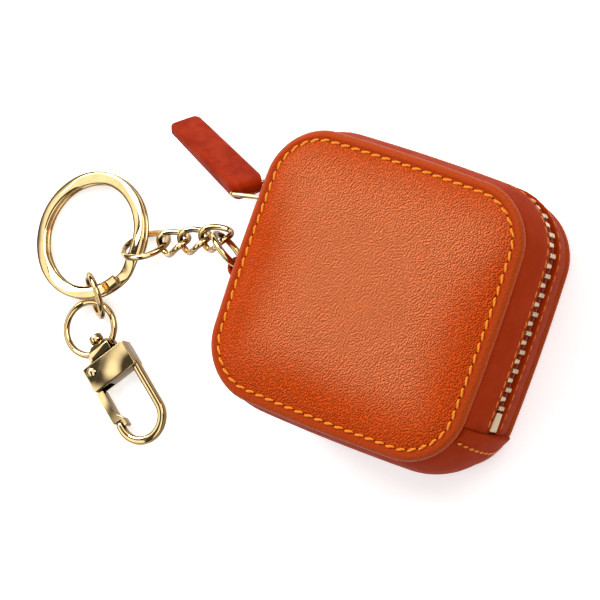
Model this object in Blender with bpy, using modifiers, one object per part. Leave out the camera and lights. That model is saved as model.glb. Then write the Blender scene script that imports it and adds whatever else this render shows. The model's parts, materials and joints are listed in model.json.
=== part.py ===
"""Keychain coin purse: a zipped leather cube on a short chain with a split ring and a snap hook.

The purse lies on its rear panel.  The origin is the centre of the flat rear face, +Z points out of
the front panel, +X and +Y run across it.  The chain, the rings and the hook lie on the table on the
-X side.  All lengths are in metres.
"""

import math

import bmesh
import bpy
import numpy as np
from mathutils import Matrix, Vector

# Purse body
PURSE_WIDTH = 0.0660
PURSE_HEIGHT = 0.0650
CORNER_RADIUS = 0.0130
SIDE_BOW = 0.0010
PANEL_SPACING = 0.0320
REAR_CROWN = 0.0024
FRONT_CROWN = 0.0026
FRONT_DOME = 0.0004
LEATHER = 0.0013
HEM_DEPTH = 0.0016
HEM_WIDTH = 0.0036
EDGE_ROLL = 0.0009
LIP_INSET = 0.0012
STITCH_INSET = 0.0026
STITCH_GROOVE = 0.0002
SHOULDER_INSET = 0.0045
CROWN_INSET = 0.0080
LINING = 0.0007
FIT_GAP = 0.0003
PLATEAU_SHARES = (0.70, 0.38)
LIP_RISE_SHARE = 0.40
SHOULDER_RISE_SHARE = 0.74

# Gusset and zip
RIM_SET_BACK = 0.0011
ZIP_BULGE = 0.0017
LEATHER_EDGE_TO_ZIP = 0.0032
TAPE = 0.0006
TAPE_EDGE_TO_ZIP = 0.0014
TAPE_UNDERLAP = 0.0042
TOOTH_PITCH = 0.0023
TOOTH_WIDTH = 0.0012
TOOTH_LENGTH = 0.0025
TOOTH_INNER_STAND = 0.00025
TOOTH_OUTER_STAND = 0.0014
TOOTH_ROW_GAP = 0.0003
BOOT_PROUD = 0.0006
BOOT_HEM_PROUD = 0.0005
BOOT_HEM_LENGTH = 0.0040
BOOT_LEFT_Y = 0.0093
BOOT_RIGHT_Y = -0.0212
LID_LEFT_Y = 0.0192
SEAM_GAP = 0.0004
STOP_LENGTH = 0.0048
STOP_NARROW = 0.0013
STOP_WIDE = 0.0023
STOP_THICKNESS = 0.0012

# Slider, pull wire and pull tab
SLIDER_Y = 0.0140
SLIDER_LENGTH = 0.0080
SLIDER_WIDTH = 0.0068
SLIDER_INNER_WIDTH = 0.0048
SLIDER_PLATE = 0.0011
SLIDER_RUN_OUT = 0.0003
SLIDER_RUN_IN = 0.0008
SLIDER_POST_LENGTH = 0.0020
SLIDER_POST_WIDTH = 0.0018
SLIDER_POST_MARGIN = 0.0004
LUG_RADIUS = 0.00245
LUG_HOLE_RADIUS = 0.00165
LUG_HOLE_STAND = 0.0022
LUG_WIDTH = 0.0010
PULL_WIRE = 0.0012
PULL_WIRE_REACH = 0.0089
PULL_WIRE_YAW_DEG = 180.0
PULL_WIRE_PITCH_DEG = -23.0
PULL_WIRE_NEAR_SPAN = 0.0039
PULL_WIRE_BEND = 0.0009
TAB_REACH = 0.0324
TAB_WIDTH = 0.0084
TAB_ROOT_THICKNESS = 0.0044
TAB_TIP_THICKNESS = 0.0023
TAB_CORNER = 0.0018
TAB_SHOULDER = 0.0012
TAB_SHOULDER_FROM = 0.0008
TAB_HOLE_RADIUS = 0.0010
TAB_YAW_DEG = 161.0
TAB_PITCH_DEG = -19.7
TAB_ROLL_DEG = 46.0
TABLE_CLEAR = 0.0002

# Strap and chain
STRAP_Y = -0.0051
STRAP_DROP = 0.0013
STRAP_REACH = 0.0045
STRAP_HEIGHT = 0.0030
STRAP_HOLE_RADIUS = 0.0017
STRAP_WALL = 0.0010
STRAP_STEM = 0.0024
STRAP_RING_RADIUS = 0.0054
STRAP_RING_WIRE = 0.0017
STRAP_RING_YAW_DEG = 147.3
STRAP_RING_DROOP_DEG = 8.0
STRAP_RING_HOOK_DEG = 27.0
LINK_HALF_LENGTH = 0.0048
LINK_HALF_WIDTH = 0.0029
LINK_TWIST = 0.00135
LINK_WIRE = 0.0016
LINK_COUNT = 3
LINK_YAW_DEG = 200.0
LINK_PITCH_DEG = -20.4
LINK_ROLL_DEG = 12.0
SMALL_RING_RADIUS = 0.00595
SMALL_RING_WIRE = 0.0016
SMALL_RING_YAW_DEG = 201.0
SMALL_RING_PITCH_DEG = -3.6
SMALL_RING_ROLL_DEG = 52.0

# Split ring
SPLIT_RING_OUTER = 0.0167
SPLIT_RING_BAND = 0.0033
SPLIT_RING_WIRE = 0.0013
SPLIT_RING_TURN_GAP = 0.0003
SPLIT_RING_YAW_DEG = 188.6
SPLIT_RING_PLAY = 0.0021
SPLIT_RING_TILT_DEG = 7.4
SPLIT_RING_TILT_TO_DEG = -24.0
SPLIT_RING_START_DEG = 24.0
SPLIT_RING_RAMP_DEG = 24.0
SPLIT_RING_END_GAP_DEG = 5.0
SPLIT_RING_LIFTS_TO_DEG = 240.0

# Hook's jump ring, swivel and snap hook
JUMP_RING_RADIUS = 0.0056
JUMP_RING_WIRE = 0.0016
JUMP_RING_AT_DEG = -61.0
JUMP_RING_PLAY = 0.00106
JUMP_RING_LIFT = 0.0008
JUMP_RING_YAW_DEG = -71.0
JUMP_RING_PITCH_DEG = -32.0
JUMP_RING_ROLL_DEG = 50.0
EYE_RADIUS = 0.0069
EYE_WIRE = 0.0017
EYE_PLAY = 0.00166
EYE_SWING_DEG = -21.0
HOOK_YAW_DEG = -36.0
COLLAR_HALF_WIDTH = 0.0042
COLLAR_LENGTH = 0.0034
COLLAR_THICKNESS = 0.0040
COLLAR_CHAMFER = 0.0011
PIN_HEAD_RADIUS = 0.0018
PIN_HEAD_LENGTH = 0.0022
PIN_RADIUS = 0.0008
PIN_RUN_GAP = 0.0003
PIN_SEAT_DEPTH = 0.0026
BODY_SIDE = 0.0008
BODY_LENGTH = 0.0072
BODY_THICKNESS = 0.0042
BODY_EDGE = 0.0005
HOOK_WIRE = 0.0022
HOOK_HALF_SPAN = 0.0060
HOOK_STRAIGHT = 0.0117
HOOK_TIP_RISE = 0.0019
GATE_THICKNESS = 0.0025
GATE_DEPTH = 0.0021
GATE_NOSE_LENGTH = 0.0017
GATE_NOSE_DEPTH = 0.0011
GATE_OPEN_DEG = 22.0
RIVET_FROM_TOP = 0.0020
RIVET_INSET = 0.0012
RIVET_RADIUS = 0.0006
RIVET_HEAD_RADIUS = 0.0013
RIVET_HEAD = 0.0004
RIVET_SEAT_GAP = 0.0002
SPRING_THICKNESS = 0.0003

# Mesh resolution and cutting
ARC_STEPS = 5
SIDE_STEPS = 7
STATION_PITCH = 0.0042
RING_STEPS = 28
WIRE_SIDES = 8
LINK_STEPS = 24
CUT_OVERRUN = 0.002
MERGE = 0.000001
DENSE_STEPS = 120

ZIP_Z = REAR_CROWN + PANEL_SPACING / 2
FRONT_EDGE_Z = REAR_CROWN + PANEL_SPACING
UP = np.array([0.0, 0.0, 1.0])

PARTS = None
CUTTERS = None


# Scene set-up

def start_scene():
    """Empty the scene and make one collection for the parts and one for the cutters."""
    global PARTS, CUTTERS
    for obj in list(bpy.data.objects):
        bpy.data.objects.remove(obj, do_unlink=True)
    PARTS = bpy.data.collections.new("Keychain coin purse")
    CUTTERS = bpy.data.collections.new("Cutters")
    bpy.context.scene.collection.children.link(PARTS)
    bpy.context.scene.collection.children.link(CUTTERS)


def material(name, color, roughness, metallic):
    """A Principled material with one colour, for one node."""
    mat = bpy.data.materials.new(name)
    mat.use_nodes = True
    shader = mat.node_tree.nodes["Principled BSDF"]
    shader.inputs["Base Color"].default_value = (*color, 1.0)
    shader.inputs["Roughness"].default_value = roughness
    shader.inputs["Metallic"].default_value = metallic
    return mat


FINISHES = {
    "leather": ((0.62, 0.17, 0.04), 0.45, 0.0),
    "tab_leather": ((0.50, 0.10, 0.02), 0.45, 0.0),
    "foam": ((0.80, 0.76, 0.62), 0.95, 0.0),
    "lining": ((0.45, 0.22, 0.10), 0.90, 0.0),
    "tape": ((0.42, 0.13, 0.04), 0.85, 0.0),
    "gold": ((0.86, 0.66, 0.34), 0.16, 1.0),
    "steel": ((0.62, 0.62, 0.60), 0.30, 1.0),
}


def add_object(name, mesh, finish, origin):
    """Link a mesh given in world coordinates, with its origin moved to a point."""
    obj = bpy.data.objects.new(name, mesh)
    point = Vector([float(value) for value in origin])
    mesh.transform(Matrix.Translation(-point))
    obj.location = point
    if finish is None:
        CUTTERS.objects.link(obj)
        obj.hide_render = True
        obj.display_type = "WIRE"
    else:
        PARTS.objects.link(obj)
        color, roughness, metallic = FINISHES[finish]
        mesh.materials.append(material(name, color, roughness, metallic))
    return obj


def boolean(obj, tool, operation):
    """Join or cut an object with a tool by an exact Boolean modifier."""
    step = obj.modifiers.new(f"{operation.lower()} {tool.name}", "BOOLEAN")
    step.operation = operation
    step.object = tool
    step.solver = "EXACT"


# Vectors and frames

def unit(vector):
    """The vector scaled to length one."""
    vector = np.asarray(vector, float)
    return vector / np.linalg.norm(vector)


def heading(yaw_deg, pitch_deg=0.0):
    """A direction from its turn about Z and its rise above the table."""
    yaw, pitch = math.radians(yaw_deg), math.radians(pitch_deg)
    return np.array([math.cos(pitch) * math.cos(yaw), math.cos(pitch) * math.sin(yaw), math.sin(pitch)])


def frame_along(direction, roll_deg=0.0):
    """Columns: x along the direction, y level to its side, z upward, rolled about x."""
    x_axis = unit(direction)
    y_axis = unit(np.cross(UP, x_axis))
    z_axis = np.cross(x_axis, y_axis)
    cos_roll, sin_roll = math.cos(math.radians(roll_deg)), math.sin(math.radians(roll_deg))
    return np.array([x_axis, cos_roll * y_axis + sin_roll * z_axis, cos_roll * z_axis - sin_roll * y_axis]).T


def to_world(points, origin, frame):
    """Points in a local frame, as world points."""
    return np.asarray(origin) + np.asarray(points) @ frame.T


# The purse outline

def rim(offset, arc_steps=ARC_STEPS, side_steps=SIDE_STEPS):
    """The bowed square outline, clockwise from the middle of the bottom side, grown by an offset."""
    half_w, half_h = PURSE_WIDTH / 2, PURSE_HEIGHT / 2
    core_w, core_h = half_w - CORNER_RADIUS, half_h - CORNER_RADIUS
    corners = ((-core_w, -core_h), (-core_w, core_h), (core_w, core_h), (core_w, -core_h))
    arcs = []
    for index, (x_mid, y_mid) in enumerate(corners):
        angles = np.radians(270.0 - 90.0 * index - np.linspace(0.0, 90.0, arc_steps + 1))
        radius = CORNER_RADIUS + offset
        arcs.append(np.c_[x_mid + radius * np.cos(angles), y_mid + radius * np.sin(angles)])
    points = []
    for index, arc in enumerate(arcs):
        following = arcs[(index + 1) % len(arcs)]
        share = np.linspace(0.0, 1.0, side_steps + 1)[1:-1, None]
        points += [arc, arc[-1] * (1 - share) + following[0] * share]
    points = np.vstack(points)
    bow_x = SIDE_BOW * (points[:, 0] / half_w) * np.clip(1 - (points[:, 1] / half_h) ** 2, 0, None)
    bow_y = SIDE_BOW * (points[:, 1] / half_h) * np.clip(1 - (points[:, 0] / half_w) ** 2, 0, None)
    return points + np.c_[bow_x, bow_y]


class RimPath:
    """Places along the outline by distance, clockwise from the bottom side's left end."""

    def __init__(self):
        points = rim(0.0, DENSE_STEPS, DENSE_STEPS)
        self.points = np.vstack([points, points[:1]])
        steps = np.linalg.norm(np.diff(self.points, axis=0), axis=1)
        self.distance = np.r_[0.0, np.cumsum(steps)]
        self.length = self.distance[-1]

    def at(self, distances):
        """Outline points and their outward normals at the given distances."""
        wrapped = np.mod(distances, self.length)
        step = self.length / len(self.distance)

        def place(where):
            where = np.mod(where, self.length)
            return np.c_[[np.interp(where, self.distance, self.points[:, axis]) for axis in (0, 1)]].T

        tangent = place(wrapped + step) - place(wrapped - step)
        tangent /= np.linalg.norm(tangent, axis=1)[:, None]
        return place(wrapped), np.c_[-tangent[:, 1], tangent[:, 0]]

    def where(self, side, y_value):
        """The distance at which the left (-1) or right (+1) side passes a height y."""
        near_side = np.sign(self.points[:, 0]) == side
        straight = np.abs(self.points[:, 1]) < PURSE_HEIGHT / 2 - CORNER_RADIUS / 2
        gaps = np.where(near_side & straight, np.abs(self.points[:, 1] - y_value), np.inf)
        return self.distance[int(np.argmin(gaps))]


RIM = RimPath()
ZIP_LEFT = RIM.where(-1, BOOT_LEFT_Y)
ZIP_RIGHT = RIM.where(1, BOOT_RIGHT_Y)
LID_LEFT = RIM.where(-1, LID_LEFT_Y)


def barrel(height):
    """How far the gusset's outer face stands out of the panel outline at a height."""
    reach = PANEL_SPACING / 2
    return ZIP_BULGE - (ZIP_BULGE + RIM_SET_BACK) * ((height - ZIP_Z) / reach) ** 2


# Mesh builders

def mesh_from_rings(name, rings, close_first, close_last):
    """A skin through rings of equal count; an end closes to a point or to a flat face."""
    mesh = bpy.data.meshes.new(name)
    work = bmesh.new()
    rows = [[work.verts.new(point) for point in ring] for ring in rings]
    count = len(rows[0])
    for lower, upper in zip(rows[:-1], rows[1:]):
        for index in range(count):
            after = (index + 1) % count
            work.faces.new((lower[index], lower[after], upper[after], upper[index]))
    for row, close, ring in ((rows[0], close_first, rings[0]), (rows[-1], close_last, rings[-1])):
        if close == "flat":
            work.faces.new(row)
        elif close == "fan":
            hub = work.verts.new(np.mean(ring, axis=0))
            for index in range(count):
                work.faces.new((row[index], row[(index + 1) % count], hub))
    bmesh.ops.recalc_face_normals(work, faces=work.faces)
    work.to_mesh(mesh)
    work.free()
    return mesh


def strip_mesh(name, start, end, profile, proud=None):
    """A strip that follows the outline with a closed cross-section of (offset, height) points."""
    count = max(3, math.ceil((end - start) / STATION_PITCH)) + 1
    distances = np.linspace(start, end, count)
    places, normals = RIM.at(distances)
    rings = []
    for place, normal, distance in zip(places, normals, distances):
        extra = proud(distance) if proud else 0.0
        rings.append([(*(place + normal * (offset + extra * outer)), height)
                      for offset, height, outer in profile])
    return mesh_from_rings(name, rings, "flat", "flat")


def box_mesh(name, low, high, origin=(0.0, 0.0, 0.0), frame=None):
    """A box between two corners of a local frame."""
    mesh = bpy.data.meshes.new(name)
    work = bmesh.new()
    bmesh.ops.create_cube(work, size=1.0)
    low, high = np.array(low, float), np.array(high, float)
    frame = np.eye(3) if frame is None else frame
    for vert in work.verts:
        local = (low + high) / 2 + np.array(vert.co) * (high - low)
        vert.co = to_world(local, origin, frame)
    bmesh.ops.recalc_face_normals(work, faces=work.faces)
    work.to_mesh(mesh)
    work.free()
    return mesh


def cylinder_mesh(name, radius, start, end, sides, end_radius=None):
    """A cylinder or cone between two world points."""
    mesh = bpy.data.meshes.new(name)
    work = bmesh.new()
    start, end = np.asarray(start, float), np.asarray(end, float)
    axis = unit(end - start)
    length = float(np.linalg.norm(end - start))
    tip = radius if end_radius is None else end_radius
    bmesh.ops.create_cone(work, cap_ends=True, segments=sides, radius1=radius, radius2=tip, depth=length)
    turn = Vector((0, 0, 1)).rotation_difference(Vector([float(value) for value in axis]))
    middle = Matrix.Translation(Vector([float(value) for value in (start + end) / 2]))
    bmesh.ops.transform(work, matrix=middle @ turn.to_matrix().to_4x4(), verts=work.verts)
    work.to_mesh(mesh)
    work.free()
    return mesh


def mesh_of_curve(curve_obj):
    """The mesh of a curve object in world coordinates; its caps are welded and the curve is removed."""
    bpy.context.view_layer.update()
    depsgraph = bpy.context.evaluated_depsgraph_get()
    mesh = bpy.data.meshes.new_from_object(curve_obj.evaluated_get(depsgraph))
    mesh.transform(curve_obj.matrix_world)
    work = bmesh.new()
    work.from_mesh(mesh)
    bmesh.ops.remove_doubles(work, verts=work.verts, dist=MERGE)
    bmesh.ops.recalc_face_normals(work, faces=work.faces)
    work.to_mesh(mesh)
    work.free()
    bpy.data.objects.remove(curve_obj, do_unlink=True)
    return mesh


def wire_mesh(name, points, radius, closed):
    """A round wire through points, closed into a loop or with filled ends."""
    curve = bpy.data.curves.new(name, "CURVE")
    curve.dimensions = "3D"
    curve.bevel_depth = radius
    curve.bevel_resolution = (WIRE_SIDES - 4) // 2
    curve.use_fill_caps = True
    spline = curve.splines.new("POLY")
    spline.points.add(len(points) - 1)
    for point, place in zip(spline.points, points):
        point.co = (*[float(value) for value in place], 1.0)
    spline.use_cyclic_u = closed
    obj = bpy.data.objects.new(name, curve)
    CUTTERS.objects.link(obj)
    return mesh_of_curve(obj)


def plate_mesh(name, outlines, thickness, origin, frame):
    """A flat plate: closed outlines in the frame's x and y, the later ones being holes."""
    curve = bpy.data.curves.new(name, "CURVE")
    curve.dimensions = "2D"
    curve.fill_mode = "BOTH"
    curve.extrude = thickness / 2
    for outline in outlines:
        spline = curve.splines.new("POLY")
        spline.points.add(len(outline) - 1)
        for point, place in zip(spline.points, outline):
            point.co = (float(place[0]), float(place[1]), 0.0, 1.0)
        spline.use_cyclic_u = True
    obj = bpy.data.objects.new(name, curve)
    CUTTERS.objects.link(obj)
    matrix = Matrix.Identity(4)
    for row in range(3):
        for column in range(3):
            matrix[row][column] = float(frame[row][column])
        matrix[row][3] = float(origin[row])
    obj.matrix_world = matrix
    return mesh_of_curve(obj)


def torus_mesh(name, centre, frame, radius, wire_radius):
    """A wire ring whose plane is the frame's x and y."""
    turns = np.linspace(0.0, 2 * math.pi, RING_STEPS, endpoint=False)
    circle = np.c_[radius * np.cos(turns), radius * np.sin(turns), 0 * turns]
    return wire_mesh(name, to_world(circle, centre, frame), wire_radius, True)


def arc_points(centre, radius, start_deg, end_deg, steps):
    """Points of an arc in a plane."""
    angles = np.radians(np.linspace(start_deg, end_deg, steps + 1))
    return np.c_[centre[0] + radius * np.cos(angles), centre[1] + radius * np.sin(angles)]


# Panels

def panel_ring(offset, height, share=1.0):
    """One closed ring of a panel at an offset from the outline, drawn towards the middle by a share."""
    flat = rim(offset) * share
    return np.c_[flat, np.full(len(flat), height)]


def panel_skin_levels(crown, dome):
    """The outer skin's rings from the edge inwards: (offset, rise above the edge plane, share)."""
    lip = crown * LIP_RISE_SHARE
    levels = [(-LIP_INSET, lip, 1.0), (-STITCH_INSET, lip + STITCH_GROOVE, 1.0),
              (-SHOULDER_INSET, crown * SHOULDER_RISE_SHARE, 1.0), (-CROWN_INSET, crown, 1.0)]
    for index, share in enumerate(PLATEAU_SHARES):
        levels.append((-CROWN_INSET, crown + dome * (index + 1) / len(PLATEAU_SHARES), share))
    return levels


def skin_rise(depth, crown):
    """The outer skin's rise at a distance in from the edge, for what lies under it."""
    lip = crown * LIP_RISE_SHARE
    known = (0.0, LIP_INSET, STITCH_INSET, SHOULDER_INSET, CROWN_INSET)
    rises = (0.0, lip, lip + STITCH_GROOVE, crown * SHOULDER_RISE_SHARE, crown)
    return float(np.interp(depth, known, rises))


def panel_leather(name, edge_z, side, crown, dome):
    """A crowned leather dish with a turned hem: side is +1 for the front, -1 for the rear."""
    outer = [panel_ring(offset, edge_z + side * rise, share)
             for offset, rise, share in reversed(panel_skin_levels(crown, dome))]
    edge = [panel_ring(0.0, edge_z), panel_ring(-EDGE_ROLL / 4, edge_z - side * EDGE_ROLL),
            panel_ring(-EDGE_ROLL, edge_z - side * HEM_DEPTH)]
    hem = [panel_ring(-HEM_WIDTH, edge_z - side * HEM_DEPTH),
           panel_ring(-HEM_WIDTH, edge_z + side * (skin_rise(HEM_WIDTH, crown) - LEATHER))]
    inner = [panel_ring(offset, edge_z + side * (rise - LEATHER), share)
             for offset, rise, share in panel_skin_levels(crown, dome) if -offset > HEM_WIDTH]
    return mesh_from_rings(name, outer + edge + hem + inner, "fan", "fan")


def panel_foam(name, edge_z, side, crown, dome):
    """The padding between the leather and the lining."""
    outset = -(HEM_WIDTH + FIT_GAP)
    base = edge_z - side * (HEM_DEPTH - LINING - FIT_GAP)
    under = LEATHER + FIT_GAP
    rings = [panel_ring(outset, base),
             panel_ring(outset, edge_z + side * (skin_rise(-outset, crown) - under))]
    for offset, rise, share in panel_skin_levels(crown, dome):
        if -offset > -outset:
            rings.append(panel_ring(offset, edge_z + side * (rise - under), share))
    return mesh_from_rings(name, rings, "flat", "fan")


def panel_lining(name, edge_z, side):
    """The flat lining sheet that closes the panel on the inside."""
    outset = -(HEM_WIDTH + FIT_GAP)
    low = edge_z - side * HEM_DEPTH
    rings = [panel_ring(outset, low), panel_ring(outset, low + side * LINING)]
    return mesh_from_rings(name, rings, "flat", "flat")


def fold_line():
    """The lid's hinge: a point, the axis along the fold, and the level direction into the lid."""
    (left,), _ = RIM.at(np.array([LID_LEFT]))
    (right,), _ = RIM.at(np.array([ZIP_RIGHT]))
    top = FRONT_EDGE_Z + FRONT_CROWN + FRONT_DOME + FIT_GAP
    axis = unit([*(right - left), 0.0])
    middle = (left + right) / 2
    return np.array([*middle, top]), axis, np.cross(UP, axis)


def fold_cutter(name, lid_side):
    """A block that takes away everything on one side of the fold."""
    point, axis, inward = fold_line()
    frame = np.array([axis, inward, UP]).T
    reach = PURSE_WIDTH + PURSE_HEIGHT
    half_gap = SEAM_GAP / 2
    low_y, high_y = (-reach, half_gap) if lid_side else (-half_gap, reach)
    half_z = PANEL_SPACING / 2
    mesh = box_mesh(name, (-reach, low_y, -half_z), (reach, high_y, half_z), point, frame)
    return add_object(name, mesh, None, point)


def build_panels():
    """The rear panel, and the front panel split along the line on which it folds open."""
    origin = (0.0, 0.0, 0.0)
    rear_skin = panel_leather("rear_leather", REAR_CROWN, -1, REAR_CROWN, 0.0)
    add_object("rear_leather", rear_skin, "leather", origin)
    rear_pad = panel_foam("rear_foam", REAR_CROWN, -1, REAR_CROWN, 0.0)
    add_object("rear_foam", rear_pad, "foam", origin)
    add_object("rear_lining", panel_lining("rear_lining", REAR_CROWN, -1), "lining", origin)
    point, _, _ = fold_line()
    lid_cut = fold_cutter("cut_off_the_corner", True)
    corner_cut = fold_cutter("cut_off_the_lid", False)
    for prefix, cutter, place in (("front", lid_cut, point), ("front_corner", corner_cut, origin)):
        skin = panel_leather(f"{prefix}_leather", FRONT_EDGE_Z, 1, FRONT_CROWN, FRONT_DOME)
        foam = panel_foam(f"{prefix}_foam", FRONT_EDGE_Z, 1, FRONT_CROWN, FRONT_DOME)
        lining = panel_lining(f"{prefix}_lining", FRONT_EDGE_Z, 1)
        for label, mesh, finish in (("leather", skin, "leather"), ("foam", foam, "foam"),
                                    ("lining", lining, "lining")):
            boolean(add_object(f"{prefix}_{label}", mesh, finish, place), cutter, "DIFFERENCE")


# Gussets and zip

def gusset_profile(side):
    """The leather strip between a panel and the zip: side is +1 for the front half, -1 for the rear."""
    far = ZIP_Z + side * (PANEL_SPACING / 2 - HEM_DEPTH - FIT_GAP)
    near = ZIP_Z + side * LEATHER_EDGE_TO_ZIP
    heights = np.linspace(far, near, 4)
    outer = [(barrel(height), height, 1.0) for height in heights]
    inner = [(barrel(height) - LEATHER, height, 0.0) for height in heights[::-1]]
    return outer + inner


def tape_levels():
    """The tape's outer and inner offsets at the zip."""
    outer = barrel(ZIP_Z + LEATHER_EDGE_TO_ZIP) - LEATHER - FIT_GAP
    return outer, outer - TAPE


def tape_profile(side):
    """The zip tape, which runs in under the leather strip."""
    edge = ZIP_Z + side * TAPE_EDGE_TO_ZIP
    turn = ZIP_Z + side * LEATHER_EDGE_TO_ZIP
    far = turn + side * TAPE_UNDERLAP
    outer, inner = tape_levels()
    drop = barrel(turn) - barrel(far)
    return [(outer, edge, 1.0), (outer, turn, 1.0), (outer - drop, far, 1.0),
            (inner - drop, far, 0.0), (inner, turn, 0.0), (inner, edge, 0.0)]


def teeth_tool(name, side, start, end):
    """One row of zip teeth as separate blocks, ready to be joined to the tape."""
    outer, inner = tape_levels()
    near = ZIP_Z + side * TOOTH_ROW_GAP / 2
    far = near + side * TOOTH_LENGTH
    stagger = TOOTH_PITCH / 2 if side > 0 else 0.0
    count = int((end - start - TOOTH_WIDTH - stagger) / TOOTH_PITCH) + 1
    work = bmesh.new()
    for index in range(count):
        distance = start + TOOTH_WIDTH / 2 + stagger + index * TOOTH_PITCH
        (place,), (normal,) = RIM.at(np.array([distance]))
        frame = np.array([[normal[0], -normal[1], 0.0], [normal[1], normal[0], 0.0], [0.0, 0.0, 1.0]])
        low = (inner - TOOTH_INNER_STAND, -TOOTH_WIDTH / 2, min(near, far))
        high = (outer + TOOTH_OUTER_STAND, TOOTH_WIDTH / 2, max(near, far))
        work.from_mesh(box_mesh("tooth", low, high, (*place, 0.0), frame))
    mesh = bpy.data.meshes.new(name)
    work.to_mesh(mesh)
    work.free()
    return add_object(name, mesh, None, (0.0, 0.0, ZIP_Z))


def boot_face(height):
    """How far the full-width strip's outer face stands out of the panel outline at a height."""
    reach = PANEL_SPACING / 2 - HEM_DEPTH - FIT_GAP
    return barrel(height) + BOOT_PROUD * (1 - ((height - ZIP_Z) / reach) ** 2)


def boot_profile():
    """The full-width strip round the bottom, from hem to hem."""
    reach = PANEL_SPACING / 2 - HEM_DEPTH - FIT_GAP
    heights = np.linspace(ZIP_Z - reach, ZIP_Z + reach, 6)
    outer = [(boot_face(height), height, 1.0) for height in heights]
    inner = [(barrel(height) - LEATHER, height, 0.0) for height in heights[::-1]]
    return outer + inner


def boot_lining_profile():
    """The thin lining inside the full-width strip."""
    reach = PANEL_SPACING / 2 - HEM_DEPTH - FIT_GAP
    heights = np.linspace(ZIP_Z - reach, ZIP_Z + reach, 5)
    outer = [(barrel(height) - LEATHER - FIT_GAP, height, 1.0) for height in heights]
    inner = [(barrel(height) - LEATHER - FIT_GAP - LINING, height, 0.0) for height in heights[::-1]]
    return outer + inner


def boot_hem(start, end):
    """Extra height of the strip where its ends are folded over."""
    def proud(distance):
        nearest = min(distance - start, end - distance)
        return BOOT_HEM_PROUD * float(np.clip(2 - nearest / BOOT_HEM_LENGTH, 0, 1))
    return proud


def build_gussets():
    """Leather strips, zip tapes with their teeth, and the full-width strip round the bottom."""
    point, _, _ = fold_line()
    centre = (0.0, 0.0, ZIP_Z)
    start, end = ZIP_LEFT + SEAM_GAP, ZIP_RIGHT - SEAM_GAP
    lid_start = LID_LEFT + SEAM_GAP / 2
    stub_end = LID_LEFT - SEAM_GAP / 2
    teeth_end = end - STOP_LENGTH - TOOTH_PITCH / 2
    strips = (("rear_gusset", start, end, gusset_profile(-1), "leather", centre),
              ("front_gusset", lid_start, end, gusset_profile(1), "leather", point),
              ("front_gusset_end", start, stub_end, gusset_profile(1), "leather", centre),
              ("rear_zip_tape", start, end, tape_profile(-1), "tape", centre),
              ("front_zip_tape", lid_start, end, tape_profile(1), "tape", point),
              ("front_zip_tape_end", start, stub_end, tape_profile(1), "tape", centre))
    made = {name: add_object(name, strip_mesh(name, first, last, profile), finish, origin)
            for name, first, last, profile, finish, origin in strips}
    teeth_start = lid_start + TOOTH_WIDTH
    boolean(made["rear_zip_tape"], teeth_tool("rear_teeth", -1, teeth_start, teeth_end), "UNION")
    boolean(made["front_zip_tape"], teeth_tool("front_teeth", 1, teeth_start, teeth_end), "UNION")

    boot_start, boot_end = ZIP_RIGHT, RIM.length + ZIP_LEFT
    boot = strip_mesh("bottom_gusset", boot_start, boot_end, boot_profile(), boot_hem(boot_start, boot_end))
    add_object("bottom_gusset", boot, "leather", centre)
    lining = strip_mesh("bottom_gusset_lining", boot_start, boot_end, boot_lining_profile())
    add_object("bottom_gusset_lining", lining, "lining", centre)


def build_zip_stop():
    """The metal stop at the zip's lower right end, wider towards the bottom."""
    outer, _ = tape_levels()
    low_end = ZIP_RIGHT - SEAM_GAP - FIT_GAP
    (place,), (normal,) = RIM.at(np.array([low_end - STOP_LENGTH / 2]))
    along = np.array([-normal[1], normal[0], 0.0])
    outward = np.array([normal[0], normal[1], 0.0])
    base = np.array([*place, ZIP_Z]) + outward * (outer + FIT_GAP + STOP_THICKNESS / 2)
    half, low, high = STOP_LENGTH / 2, STOP_WIDE / 2, STOP_NARROW / 2
    shape = [(-half, -low), (half, -high), (half, high), (-half, low)]
    frame = np.array([along, np.cross(outward, along), outward]).T
    mesh = plate_mesh("zip_bottom_stop", [shape], STOP_THICKNESS, base, frame)
    add_object("zip_bottom_stop", mesh, "gold", base)


# Slider and pull

def slider_places():
    """The slider's frame on the left side: its centre on the outline, and the lug hole's centre."""
    (place,), _ = RIM.at(np.array([RIM.where(-1, SLIDER_Y)]))
    centre = np.array([*place, ZIP_Z])
    hole_out = ZIP_BULGE + SLIDER_RUN_OUT + SLIDER_PLATE + LUG_HOLE_STAND
    return centre, centre - np.array([hole_out, 0.0, 0.0])


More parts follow.
